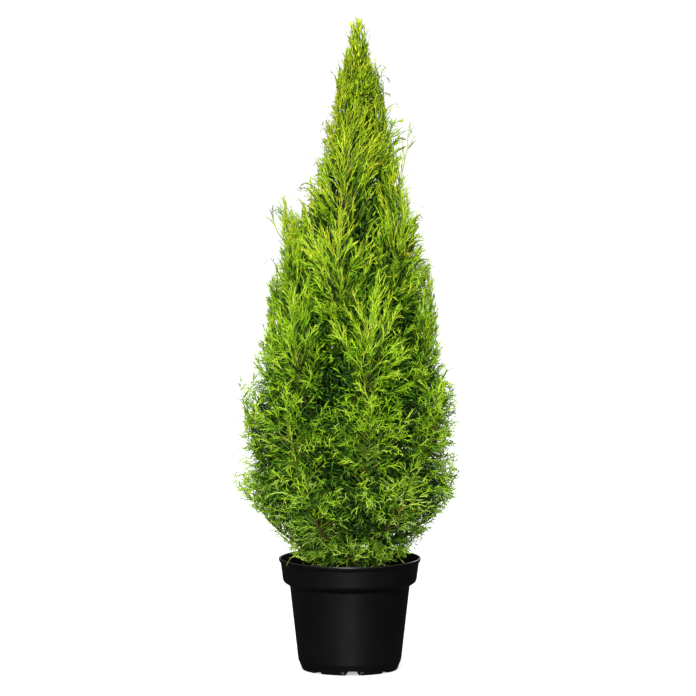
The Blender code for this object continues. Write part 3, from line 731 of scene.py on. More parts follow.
def join_spikes(parts):
    """Several (points, triangles) sets of spikes as one list of points and one of faces."""
    all_points, all_faces, base = [], [], 0
    for points, faces in parts:
        count, corners = points.shape[:2]
        all_points.append(points.reshape(-1, 3))
        offsets = base + np.arange(count)[:, None, None] * corners
        all_faces.append((faces[None] + offsets).reshape(-1, 3))
        base += count * corners
    return np.concatenate(all_points), np.concatenate(all_faces)


def tube_faces(rings, sides):
    """Triangles between rings of points, and fans at both ends to the two points that come after them."""
    ring, side = np.meshgrid(np.arange(rings - 1), np.arange(sides), indexing="ij")
    a, b = ring * sides + side, ring * sides + (side + 1) % sides
    low = np.stack([a, b, b + sides], axis=-1).reshape(-1, 3)
    high = np.stack([a, b + sides, a + sides], axis=-1).reshape(-1, 3)
    around, top = np.arange(sides), (rings - 1) * sides
    start = np.stack([(around + 1) % sides, around, np.full(sides, rings * sides)], axis=-1)
    end = np.stack([top + around, top + (around + 1) % sides, np.full(sides, rings * sides + 1)], axis=-1)
    return np.concatenate([low, high, start, end])


def tube_arrays(line, radii, sides, relief):
    """A closed tube along one line, with relief on it: (points, triangles)."""
    count = len(line)
    headings = unit(np.gradient(line, axis=0))
    across = np.empty_like(line)
    across[0] = square_to(np.array([0.3, -1.0, 0.1]), headings[0])
    for ring in range(1, count):
        across[ring] = square_to(across[ring - 1], headings[ring])
    widths = np.repeat(np.asarray(radii, float)[:, None], sides, axis=1)
    widths = widths + relief(np.arange(sides) * math.tau / sides, line[:, 2][:, None], widths)
    points = (line[:, None] + corners_round(headings, across, sides) * widths[:, :, None]).reshape(-1, 3)
    return np.concatenate([points, line[:1], line[-1:]]), tube_faces(count, sides)


def join_meshes(parts):
    points, faces, base = [], [], 0
    for some_points, some_faces in parts:
        points.append(some_points)
        faces.append(some_faces + base)
        base += len(some_points)
    return np.concatenate(points), np.concatenate(faces)


# ---------------------------------------------------------------- materials


def linear(colour):
    return tuple(((c / 255 + 0.055) / 1.055) ** 2.4 if c > 10 else c / 255 / 12.92 for c in colour)


class Nodes:
    """A short way to build a material's nodes."""

    def __init__(self, name):
        self.material = bpy.data.materials.new(name)
        self.material.use_nodes = True
        self.tree = self.material.node_tree
        self.shader = self.tree.nodes["Principled BSDF"]
        self.place = self.add("ShaderNodeTexCoord").outputs["Object"]

    def add(self, kind, **settings):
        node = self.tree.nodes.new(kind)
        for key, value in settings.items():
            if hasattr(node, key):
                setattr(node, key, value)
            else:
                node.inputs[key.replace("_", " ")].default_value = value
        return node

    def link(self, source, target):
        self.tree.links.new(source, target)
        return self

    def noise(self, scale, detail=3.0, roughness=0.55, stretch=None):
        texture = self.add("ShaderNodeTexNoise", Scale=scale, Detail=detail, Roughness=roughness)
        place = self.place
        if stretch:
            mapping = self.add("ShaderNodeMapping")
            mapping.inputs["Scale"].default_value = stretch
            self.link(place, mapping.inputs["Vector"])
            place = mapping.outputs["Vector"]
        self.link(place, texture.inputs["Vector"])
        return texture.outputs["Fac"]

    def ramp(self, source, stops):
        ramp = self.add("ShaderNodeValToRGB")
        elements = ramp.color_ramp.elements
        while len(elements) < len(stops):
            elements.new(0.5)
        for element, (place, colour) in zip(elements, stops):
            element.position = place
            element.color = (*linear(colour), 1.0)
        self.link(source, ramp.inputs["Fac"])
        return ramp.outputs["Color"]

    def bump(self, source, strength, distance, under=None):
        bump = self.add("ShaderNodeBump", Strength=strength, Distance=distance)
        self.link(source, bump.inputs["Height"])
        if under:
            self.link(under, bump.inputs["Normal"])
        return bump.outputs["Normal"]

    def finish(self, colour=None, normal=None, roughness=None, **values):
        if colour is not None:
            self.link(colour, self.shader.inputs["Base Color"])
        if normal is not None:
            self.link(normal, self.shader.inputs["Normal"])
        if roughness is not None:
            self.link(roughness, self.shader.inputs["Roughness"])
        for key, value in values.items():
            self.shader.inputs[key.replace("_", " ")].default_value = value
        return self.material


def shifted(colour, factor):
    return tuple(min(c * factor, 255) for c in colour)


def foliage_material(name, green):
    """Scale-clad green, a little uneven from spray to spray and scale to scale."""
    nodes = Nodes(name)
    patches = nodes.noise(38.0, 2.0)
    colour = nodes.ramp(patches, ((0.34, shifted(green, 0.90)), (0.52, green), (0.68, shifted(green, 1.07))))
    scales = nodes.noise(900.0, 1.0)
    normal = nodes.bump(scales, 0.35, 0.0004)
    return nodes.finish(colour, normal, Roughness=0.52, Specular_IOR_Level=0.25)


def young_stem_material():
    nodes = Nodes("young_stem")
    patches = nodes.noise(30.0, 2.0)
    colour = nodes.ramp(patches, ((0.35, (66, 96, 16)), (0.52, (104, 132, 26)), (0.70, (160, 152, 48))))
    normal = nodes.bump(nodes.noise(700.0, 1.0), 0.3, 0.0003)
    return nodes.finish(colour, normal, Roughness=0.55, Specular_IOR_Level=0.3)


def bark_material():
    nodes = Nodes("bark")
    fibres = nodes.noise(210.0, 5.0, 0.6, stretch=(1.0, 1.0, 0.16))
    patches = nodes.noise(46.0, 3.0)
    colour = nodes.ramp(
        fibres, ((0.30, (34, 24, 16)), (0.48, (72, 52, 34)), (0.62, (104, 78, 52)), (0.80, (138, 110, 80)))
    )
    tint = nodes.add("ShaderNodeMix", data_type="RGBA", blend_type="MULTIPLY")
    tint.inputs["Factor"].default_value = 0.5
    nodes.link(colour, tint.inputs[6])
    nodes.link(nodes.ramp(patches, ((0.35, (150, 140, 130)), (0.65, (255, 250, 245)))), tint.inputs[7])
    normal = nodes.bump(fibres, 0.7, 0.0012)
    return nodes.finish(tint.outputs[2], normal, Roughness=0.88, Specular_IOR_Level=0.2)


def peat_material():
    nodes = Nodes("peat")
    crumbs = nodes.noise(260.0, 5.0, 0.65)
    colour = nodes.ramp(crumbs, ((0.32, (18, 12, 9)), (0.50, (40, 28, 20)), (0.66, (66, 47, 33)), (0.80, (98, 74, 52))))
    normal = nodes.bump(crumbs, 0.8, 0.0010)
    return nodes.finish(colour, normal, Roughness=0.97, Specular_IOR_Level=0.15)


def pot_material():
    """Injection-moulded black polypropylene: satin, faintly dusty, with a fine moulded grain."""
    nodes = Nodes("black_plastic")
    dust = nodes.noise(22.0, 4.0, 0.6)
    colour = nodes.ramp(dust, ((0.35, (6, 7, 7)), (0.60, (10, 10, 10)), (0.80, (16, 16, 15))))
    grain = nodes.noise(1500.0, 2.0)
    rub = nodes.noise(60.0, 3.0, 0.6, stretch=(1.0, 1.0, 0.25))
    roughness = nodes.add("ShaderNodeMapRange")
    roughness.inputs["To Min"].default_value = 0.30
    roughness.inputs["To Max"].default_value = 0.40
    nodes.link(rub, roughness.inputs["Value"])
    normal = nodes.bump(grain, 0.12, 0.0002, under=nodes.bump(dust, 0.10, 0.0008))
    return nodes.finish(colour, normal, roughness.outputs["Result"], Specular_IOR_Level=0.36)


# ---------------------------------------------------------------- pot and soil


def rounded(profile, radius, steps=3):
    """A profile of (radius, height) points with its corners rounded."""
    made = [profile[0]]
    for before, here, after in zip(profile, profile[1:], profile[2:]):
        here, near, far = np.array(here), np.array(before) - here, np.array(after) - here
        cut = min(radius, np.linalg.norm(near) * 0.45, np.linalg.norm(far) * 0.45)
        start, end = here + unit(near) * cut, here + unit(far) * cut
        for t in np.linspace(0.0, 1.0, steps + 1):
            made.append(tuple(curve(start, here, end, t)))
    made.append(profile[-1])
    return made


def lathe(profile, segments):
    """A closed body of revolution from (radius, height) points that run from axis to axis."""
    inner = np.array(profile[1:-1])
    angles = np.arange(segments) * math.tau / segments
    ring = np.stack([np.cos(angles), np.sin(angles)], axis=-1)
    points = np.concatenate([
        (inner[:, 0][:, None, None] * ring[None]), np.repeat(inner[:, 1][:, None, None], segments, axis=1)
    ], axis=2).reshape(-1, 3)
    points = np.concatenate([points, [(0, 0, profile[0][1]), (0, 0, profile[-1][1])]])
    return points, tube_faces(len(inner), segments)[:, ::-1]


def inner_wall():
    return [
        (BASE_RADIUS - WALL, FLOOR_TOP),
        (BODY_TOP_RADIUS - WALL, BODY_TOP + WALL),
        (COLLAR_FOOT_RADIUS - WALL, COLLAR_FOOT + WALL),
        (LIP_RADIUS - 1.6 * WALL, POT_HEIGHT),
    ]


def outer_wall():
    return [
        (LIP_RADIUS - 0.4 * WALL, POT_HEIGHT),
        (LIP_RADIUS, POT_HEIGHT - 0.0012),
        (LIP_RADIUS - 0.0004, POT_HEIGHT - 0.0040),
        (COLLAR_TOP_RADIUS, POT_HEIGHT - 0.0070),
        (COLLAR_FOOT_RADIUS, COLLAR_FOOT),
        (COLLAR_FOOT_RADIUS - 0.0015, COLLAR_FOOT - 0.0032),
        (BODY_TOP_RADIUS, BODY_TOP),
        (BODY_FOOT_RADIUS, BODY_FOOT),
        (BASE_RADIUS + 0.0016, 0.0060),
        (BASE_RADIUS - 0.0006, 0.0),
    ]


def box_cutter(name, inner, outer, low, high, foot_width, roof_width, azimuth, across=0.0):
    """A radial bar with sloping sides, from one radius to another and one height to another."""
    points = [
        (radius, across + side * width / 2, height)
        for radius in (inner, outer)
        for height, width in ((low, foot_width), (high, roof_width))
        for side in (-1, 1)
    ]
    turn = np.array([
        [math.cos(azimuth), -math.sin(azimuth), 0], [math.sin(azimuth), math.cos(azimuth), 0], [0, 0, 1]
    ])
    faces = [(0, 2, 3, 1), (4, 5, 7, 6), (0, 1, 5, 4), (2, 6, 7, 3), (0, 4, 6, 2), (1, 3, 7, 5)]
    mesh = bpy.data.meshes.new(name)
    mesh.from_pydata((np.array(points) @ turn.T).tolist(), [], faces)
    cutter = bpy.data.objects.new(name, mesh)
    bpy.context.scene.collection.objects.link(cutter)
    return cutter


def make_pot():
    profile = [(0.0, FLOOR_TOP), *inner_wall(), *outer_wall(), (0.0, 0.0)]
    points, faces = lathe(rounded(profile, 0.0011), 160)
    pot = add_mesh("pot_body", points, faces, pot_material(), ["pot"])
    cutters = []
    step = math.tau / CHANNELS_EACH
    for number in range(CHANNELS_EACH):
        azimuth = math.radians(CHANNEL_TURN - 90) + number * step
        for (height, foot, roof), turn in ((MAIN_CHANNEL, 0.0), (MINOR_CHANNEL, step / 2)):
            slope = (foot - roof) / height * 0.004
            cutters.append(box_cutter(
                "cutter", 0.030, BASE_RADIUS + 0.010, -0.004, height, foot + slope, roof, azimuth + turn
            ))
        for side in (-1, 1):  # drain slots in the foot's wall beside each main channel
            cutters.append(box_cutter(
                "cutter", BASE_RADIUS - 0.0020, BASE_RADIUS + 0.010, 0.0010, 0.0050, 0.0050, 0.0046, azimuth,
                side * 0.0132
            ))
    for cutter in cutters:
        cut = pot.modifiers.new("cut", "BOOLEAN")
        cut.operation = "DIFFERENCE"
        cut.solver = "EXACT"
        cut.object = cutter
    graph = bpy.context.evaluated_depsgraph_get()
    mesh = bpy.data.meshes.new_from_object(pot.evaluated_get(graph))
    pot.modifiers.clear()
    pot.data = mesh
    for cutter in cutters:
        bpy.data.objects.remove(cutter)
    mesh.shade_smooth()
    mesh.set_sharp_from_angle(angle=math.radians(38))
    return pot


def make_soil(dice):
    """Peat that fills the pot, crumbly on top, with loose crumbs lying on it."""
    wall = inner_wall()
    table = [(height, radius) for radius, height in wall]
    top_radius = float(table_at(table, SOIL_TOP)) - SOIL_INSET
    radii = np.linspace(0.012, top_radius, 46)
    profile = [(0.0, SOIL_TOP), *[(radius, SOIL_TOP) for radius in radii]]
    side = [(radius - SOIL_INSET, height) for radius, height in wall[1:] if height < SOIL_TOP]
    profile += [*reversed(side), (wall[0][0] - SOIL_INSET, FLOOR_TOP + 0.0003), (0.0, FLOOR_TOP + 0.0003)]
    points, faces = lathe(profile, 150)
    on_top = points[:, 2] > SOIL_TOP - 0.0001
    x, y = points[on_top, 0], points[on_top, 1]
    lift = sum(
        size * np.sin(x * scale * math.cos(turn) + y * scale * math.sin(turn) + phase)
        for size, scale, turn, phase in zip(
            (0.0009, 0.0007, 0.0006, 0.0005, 0.0004), (160, 260, 420, 700, 1100),
            dice.uniform(0, math.tau, 5), dice.uniform(0, math.tau, 5),
        )
    )
    lift += dice.normal(0.0, 0.00035, len(lift))
    edge = np.hypot(x, y) > top_radius - 0.0008
    points[on_top, 2] += np.where(edge, 0.0, lift)
    parts = [(points, faces)]
    # A crumb is a lumpy octahedron.
    count = CRUMBS
    corners = np.array([(1, 0, 0), (-1, 0, 0), (0, 1, 0), (0, -1, 0), (0, 0, 1), (0, 0, -1)], float)
    crumb_faces = np.array([
        (0, 2, 4), (2, 1, 4), (1, 3, 4), (3, 0, 4), (2, 0, 5), (1, 2, 5), (3, 1, 5), (0, 3, 5)
    ])
    angle = dice.uniform(0, math.tau, count)
    radius = np.sqrt(dice.uniform(0.02, 1.0, count)) * (top_radius - 0.003)
    centres = np.stack([
        radius * np.cos(angle), radius * np.sin(angle), SOIL_TOP + dice.uniform(0.0004, 0.0016, count)
    ], axis=-1)
    sizes = dice.uniform(0.0006, 0.0019, (count, 1, 1)) * dice.uniform(0.5, 1.3, (count, 6, 1))
    squash = dice.uniform(0.4, 1.0, (count, 1, 3))
    spin = dice.uniform(0, math.tau, count)
    shape = corners[None] * sizes * squash
    turned = np.stack([
        shape[..., 0] * np.cos(spin)[:, None] - shape[..., 1] * np.sin(spin)[:, None],
        shape[..., 0] * np.sin(spin)[:, None] + shape[..., 1] * np.cos(spin)[:, None],
        shape[..., 2],
    ], axis=-1) + centres[:, None]
    parts.append(join_spikes([(turned, crumb_faces)]))
    points, faces = join_meshes(parts)
    return add_mesh("peat_soil", points, faces, peat_material(), ["soil"], smooth=False)


# ---------------------------------------------------------------- woody limbs


def bark_relief(phases):
    """Ridges that run up a limb, for tube_arrays."""
    def relief(angles, heights, radii):
        wander = np.sin(heights * 37 + phases[0]) * 1.2 + np.sin(heights * 91 + phases[1]) * 0.5
        ridges = (
            0.085 * np.sin(7 * angles + wander * 2 + phases[2])
            + 0.060 * np.sin(11 * angles - wander * 3 + heights * 60 + phases[3])
            + 0.040 * np.sin(3 * angles + heights * 210 + phases[4])
            + 0.035 * np.sin(heights * 620 + 2 * angles + phases[5])
        )
        return radii * ridges
    return relief


def make_limbs(masses, dice, material):
    """The trunk with its root flare, and each mass's limb as far as it is woody, in bark with relief."""
    heights = np.concatenate([
        np.linspace(TRUNK_FOOT - 0.0012, TRUNK_FOOT + 0.022, 20), np.linspace(TRUNK_FOOT + 0.024, TRUNK_TIP, 210)
    ])
    centre = trunk_centre(heights)
    parts = [tube_arrays(centre, trunk_radius(heights), 28, bark_relief(dice.uniform(0, math.tau, 6)))]
    for mass in masses:
        if mass.name == "leader":
            continue
        shares = np.linspace(*LIMB_SHARES, 40)
        thick, thin = BOUGH_RADII if mass.has_bough else THIN_LIMB_RADII
        radii = np.interp(shares, (0.0, BOUGH_END, LIMB_SHARES[1]), (thick, thin, LIMB_TIP_RADIUS))
        parts.append(tube_arrays(
            along(mass.line, shares), radii, 9, bark_relief(dice.uniform(0, math.tau, 6))
        ))
    points, faces = join_meshes(parts)
    replaced = ["trunk", *[f"bough_{mass.name}" for mass in masses if mass.has_bough]]
    return add_mesh("trunk_and_boughs", points, faces, material, replaced)


# ---------------------------------------------------------------- the crown


def axis_of(shoot, dice):
    """A twig's line, with the source's droop, and a little bend of its own."""
    shares = np.linspace(0.0, 1.0, AXIS_POINTS)
    past = np.clip((shares - shoot.twig_share) / (1 - shoot.twig_share), 0.0, 1.0)
    droop = SPRAY_DROOP * (1 - shoot.twig_share) * shoot.length * past * past
    side = square_to(dice.normal(size=3), shoot.heading)
    sway = np.sin(shares * math.pi) * shoot.length * 0.035 * dice.normal()
    return shoot.root + shoot.heading * (shares * shoot.length)[:, None] - UP * droop[:, None] + side * sway[:, None]


def mass_tones(masses):
    """How much lighter and yellower each mass is than the rest."""
    rule = random.Random(f"{SEED} tones")
    tones = np.array([rule.uniform(-MASS_TONES, MASS_TONES) for _ in masses])
    for name, extra in LIGHTER_MASSES:
        tones[[mass.name for mass in masses].index(name)] = extra
    return tones


def depth_in(points):
    """How far in from the crown's plain outline points lie, in metres."""
    return table_at(OUTLINE, points[..., 2]) - out_and_round(points)[0]


def is_inner(points):
    return depth_in(points) > np.minimum(INNER_DEPTH, table_at(OUTLINE, points[..., 2]) * INNER_SHARE)


def uprightness(points):
    """From 0 where the crown is curly to 1 where it is upright."""
    return smooth_step(CURLY_BELOW, UPRIGHT_ABOVE, points[..., 2])


def patches(points, seed, sizes):
    """A smooth unevenness through space, about from -1 to 1, with patches of about these sizes."""
    dice = np.random.default_rng(seed)
    waves = dice.normal(size=(9, 3)) * math.tau / np.array(sizes) / 1.7
    phases = dice.uniform(0, math.tau, 9)
    return np.sin(points @ waves.T + phases).sum(axis=-1) / 3.0


def in_hollows(points):
    """True for points in the hollows of the crown's front."""
    inside = np.zeros(points.shape[:-1], bool)
    for left, right, foot, top in HOLLOWS:
        inside |= (
            (points[..., 0] > left) & (points[..., 0] < right)
            & (points[..., 2] > foot) & (points[..., 2] < top)
        )
    return inside & (points[..., 1] < 0) & (share_out(points) > HOLLOW_DEPTH)


def in_box(points):
    low, high = np.array(frame_box)
    return ((points > low - BOX_SLACK) & (points < high + BOX_SLACK)).all(axis=-1)


def strew_spots(masses, spaces, dice):
    """Spots for the tips of finer twigs, strewn evenly through the crown, and the mass that each belongs to."""
    widest = max(radius for _, radius in OUTLINE) * 1.25
    zones = []
    for low, high, spacing in SPOT_ZONES:
        across = np.arange(-widest, widest, spacing)
        spots = np.stack(np.meshgrid(across, across, np.arange(low, high, spacing), indexing="ij"), axis=-1)
        spots[:, :, ::2, :2] += spacing / 2
        spots = spots.reshape(-1, 3)
        zones.append(spots + dice.uniform(-SPOT_JITTER, SPOT_JITTER, spots.shape) * spacing)
    spots = np.concatenate(zones)
    plain = out_and_round(spots)[0] < table_at(OUTLINE, spots[:, 2]) * SPOTS_WITHIN
    spots = spots[plain & inside_outline(spots, 1.0) & (past_outline(spots) < 0.0) & ~in_hollows(spots)]
    rim = []
    for count, *ranges in RIM_SPOTS:
        turns = np.radians((np.arange(count) + dice.uniform(-0.4, 0.4, count)) * 360 / count)
        radii, heights = dice.uniform(*ranges[:2], count), dice.uniform(*ranges[2:], count)
        rim.append(np.stack([np.cos(turns) * radii, np.sin(turns) * radii, heights], axis=1))
    low, high = (np.repeat(np.array(ends, float), PLUME_SPOTS, axis=0) / 1000 for ends in zip(*PLUMES))
    share = dice.random((len(low), 1))
    plumes = low * share + high * (1 - share) + dice.normal(0, 1, low.shape) * PLUME_SPREAD
    share_kept = mix(INNER_SPOTS_KEPT, uprightness(spots))
    spots = spots[~is_inner(spots) | (dice.random(len(spots)) < share_kept)]
    spots = np.concatenate([spots, *rim, plumes])
    distance = np.stack([
        (np.linalg.norm(spots[:, None] - spaces.points[spaces.owners == owner], axis=2)
         / spaces.widths[spaces.owners == owner]).min(axis=1)
        for owner in range(len(masses))
    ])
    nearest = np.argmin(distance, axis=0)
    second = np.partition(distance, 1, axis=0)[1]
    kept = second - distance[nearest, np.arange(len(spots))] > SPOT_MARGIN
    kept |= is_inner(spots)
    return spots[kept], nearest[kept]


def twigs_to(spots, mass, dice):
    """Curved twigs from a mass's line to spots, each from where it leaves the line at about the right angle."""
    shares = np.linspace(0.05 if mass.name == "leader" else 0.12, 0.97, 50)
    feet = along(mass.line, shares)
    headings = np.array([heading_at(mass.line[None], 0, share) for share in shares])
    reach = spots[:, None] - feet
    length = np.linalg.norm(reach, axis=2)
    angle = np.degrees(np.arccos(np.clip((unit(reach) * headings).sum(axis=2), -1, 1)))
    wanted = mix(FINER_TWIG_ANGLES, uprightness(spots))[:, None]
    cost = ((angle - wanted) / FINER_ANGLE_SLACK) ** 2 + length / FINER_LENGTH_SLACK
    best = np.argmin(cost, axis=1)
    rows = np.arange(len(spots))
    far = length[rows, best] <= LONGEST_FINER_TWIG
    best, spots, rows = best[far], spots[far], rows[far]
    foot, heading, span = feet[best], headings[best], length[rows, best][:, None]
    wild = dice.normal(size=spots.shape) * 0.05
    out_share, up_share = mix(np.array(KNEES), uprightness(spots)[:, None]).T  # of the spots within reach
    way = (spots - foot) * np.stack([out_share, out_share, up_share], axis=1)
    knee = foot + way + (heading * 0.10 + wild) * span
    t = np.linspace(0.0, 1.0, AXIS_POINTS)[None, :, None]
    return curve(foot[:, None], knee[:, None], spots[:, None], t)


def grow_crown(masses, dice):
    """The lines of all the stems and twigs, the mass each belongs to, and the share of each that is bare."""
    spaces = Spaces(masses)
    spots, spot_owners = strew_spots(masses, spaces, dice)
    axes, owners, bare = [], [], []
    for owner, mass in enumerate(masses):
        start = 0.0 if mass.name == "leader" else 0.14
        stem = along(mass.line, np.linspace(start, 1.0, AXIS_POINTS))[None]
        shoots = Grower(mass, owner, spaces).grow()
        main = np.array([axis_of(shoot, dice) for shoot in shoots])
        finer = twigs_to(spots[spot_owners == owner], mass, dice)
        axes += [stem, main, finer]
        owners += [owner] * (1 + len(main) + len(finer))
        bare += [0.05] + [0.12] * len(main) + [SPRAYS_START] * len(finer)
    return spaces, np.concatenate(axes), np.array(owners), np.array(bare)


def bends_from(roots, pulls, dice, hook=1.0):
    """How lines from roots bend: outwards, any way and down."""
    out, wild, down = (mix(pull, uprightness(roots)) for pull in pulls)
    return (
        outward_of(roots) * (out * hook)[:, None]
        + dice.normal(size=roots.shape) * wild[:, None]
        - UP * (down * hook)[:, None]
    )


def side_sprays(axes, owners, bare, dice):
    """Sprays off all the twigs: their roots, headings, lengths, bends and masses."""
    rows, shares, numbers = sprouts_on(axes, SPRAY_SPACING, bare, 0.985, dice)
    count = len(rows)
    roots = point_at(axes, rows, shares)
    upright = uprightness(roots)
    turns = numbers * GOLDEN + dice.uniform(-35, 35, count) + rows * 77.0
    jitter = SPRAY_ANGLE_JITTER + (1 - upright) * 5
    angles = mix(SPRAY_ANGLES, upright) + dice.normal(0, 1, count) * jitter
    headings = heading_off(heading_at(axes, rows, shares), outward_of(roots) + 1e-3 * UP, turns, angles)
    lengths = (SPRAY_LENGTH[0] + SPRAY_LENGTH[1] * (1 - shares)) * dice.uniform(0.65, 1.25, count)
    lengths *= 1 + STRING_LENGTHS[0] * smooth_step(*STRINGY, roots[:, 2])
    lengths = np.minimum(lengths, lengths_of(axes)[rows] * 0.62 + 0.006)
    bends = bends_from(roots, SPRAY_BENDS, dice)
    share_kept = np.where(is_inner(roots), mix(INNER_SPRAYS_KEPT, upright), mix(OUTER_SPRAYS_KEPT, upright))
    kept = dice.random(count) < share_kept
    return [values[kept] for values in (roots, headings, lengths, bends, owners[rows])]


def tip_sprays(axes, owners, bare, dice):
    """A spray that goes on from each twig's tip, and hooks over outwards: as side_sprays."""
    count, roots = len(axes), axes[:, -1]
    headings = heading_at(axes, np.arange(count), np.ones(count))
    lengths = dice.uniform(*mix(np.array(TIP_LENGTHS)[..., None], uprightness(roots)))
    hook = dice.uniform(*TIP_HOOKS, count)
    bends = bends_from(roots, TIP_BENDS, dice, hook)
    bends[(owners == owners.max()) & (bare < STEM_BARE)] = LEADER_TIP_BEND
    return roots, headings, lengths, bends, owners


def hooks_on(masses, dice):
    """The strays' lines, and the mass that each grows from."""
    across = np.array(HOOKS + PLUME_HOOKS, float) / 1000
    depths = dice.uniform(-HOOK_DEPTH, HOOK_DEPTH, (len(across), 3, 1))
    across[:, 0] = across[:, 1] + (across[:, 0] - across[:, 1]) * HOOK_ROOT
    depths[:, 1:] = depths[:, :1] + (depths[:, 1:] - depths[:, :1]) * 0.4
    hooks = np.concatenate([across[..., :1], depths, across[..., 1:]], axis=2)
    foot, knee, tip = np.concatenate([hooks, [np.array(RIM_FROND) / 1000]]).transpose(1, 0, 2)[:, :, None]
    t = np.linspace(0.0, 1.0, HOOK_POINTS)[None, :, None]
    lines = curve(foot, knee, tip, t)
    nearest = [[np.linalg.norm(mass.line - line[0], axis=1).min() for mass in masses] for line in lines]
    return lines, np.argmin(nearest, axis=1)


def settled(sprays, points, limits, spaces, dice):
    """The lines of those sprays that keep in bounds, shortened where that helps, and their masses."""
    roots, headings, lengths, bends, owner = sprays
    least, spread, most = limits
    reach = least + np.minimum(dice.exponential(spread, len(roots)), most)
    upright = uprightness(roots)
    reach = reach * (1 - TOP_REACH_LESS * smooth_step(*TOP_REACH, roots[:, 2]))
    reach = reach + mix(LUMPS, upright) * patches(roots, SEED + 1, LUMP_SIZES)
    reach = np.maximum(reach, past_outline(roots) + STRAY_REACH)[:, None]
    room = np.where(is_inner(roots), INNER_NEIGHBOUR_SHARE, NEIGHBOUR_SHARE)
    lines = grow_lines(roots, headings, lengths, bends, points)
    kept = np.zeros(len(lines), bool)
    for shrink in SETTLE_TRIES:
        trial = grow_lines(roots, headings, lengths * shrink, bends, points)
        fit = ((past_outline(trial) < reach) & clear_of_pot(trial, TREE_TOP + 0.004)).all(axis=1) & ~kept
        fit &= ~in_hollows(trial[:, -1]) & in_box(trial).all(axis=1)
        for mass in np.unique(owner[fit]):
            chosen = np.flatnonzero(fit & (owner == mass))
            crowded = spaces.overlap(mass, trial[chosen, -1]) > room[chosen]
            fit[chosen[crowded]] = False
        lines[fit] = trial[fit]
        kept |= fit
    return lines[kept], owner[kept]


def grow_cords(sprays, dice):
    inner = is_inner(sprays[:, 1])
    wider, longer, thicker = [np.where(inner, factor, 1.0) for factor in INNER_CORDS]
    rows, shares, numbers = sprouts_on(sprays, CORD_SPACING * wider, 0.08, 0.97, dice)
    count = len(rows)
    roots = point_at(sprays, rows, shares)
    stems = heading_at(sprays, rows, shares)
    upright = uprightness(roots)
    turns = numbers * 90.0 + dice.uniform(-40, 40, count) + rows * 53.0
    stringy = smooth_step(*STRINGY, roots[:, 2])
    angles = mix(CORD_ANGLES, upright) - 4 * stringy + dice.normal(0, CORD_ANGLE_JITTER, count)
    headings = heading_off(stems, outward_of(roots) + 1e-3 * UP, turns, angles)
    lengths = (CORD_LENGTH[0] + CORD_LENGTH[1] * (1 - shares)) * dice.uniform(0.6, 1.3, count) * longer[rows]
    lengths *= 1 + STRING_LENGTHS[1] * stringy
    bends = stems * CORD_SWEEP + dice.normal(size=(count, 3)) * mix(CORD_WILDNESS, upright)[:, None]
    lines = grow_lines(roots, headings, lengths, bends, CORD_POINTS)
    reach = np.maximum(0.0, past_outline(roots))[:, None] + CORD_REACH
    fit = (past_outline(lines) < reach) & clear_of_pot(lines, TREE_TOP + 0.008) & in_box(lines)
    fit = fit.all(axis=1)
    return lines[fit], rows[fit], shares[fit], thicker[rows[fit]]


def tones_of(sprays, owners, extras, dice):
    """How light each spray is, from 0 to 1, and its tint: painted shade darkens sprays deeper in from the outline, and
    painted light and shade change them by height.
    """
    middles = sprays[:, 2]
    upright = uprightness(middles)
    # Painted shade: the deeper a spray lies inside the outline, the darker its colour; HEIGHT_TONES add painted light
    # and shade by height.
    depth = depth_in(middles) * mix(SHADE_STEEPNESS, upright)
    tones = (
        mix(LIT_TONES, upright) * (1 - smooth_step(*SHADE_DEPTH, depth)) + table_at(HEIGHT_TONES, middles[:, 2])
        + extras[owners] + PATCH_TONE * patches(middles, SEED, PATCH_SIZES)
        + dice.normal(0, 1, len(sprays)) * mix(SPRAY_TONE_SPREAD, upright)
    )
    chance = dice.random(len(sprays))
    golden, soft = smooth_step(*GOLDEN_FROM, middles[:, 2]), 1 - smooth_step(*SOFT_BELOW, middles[:, 2])
    return tones, np.where(chance < golden, 1, np.where(chance < soft, 2, 0))


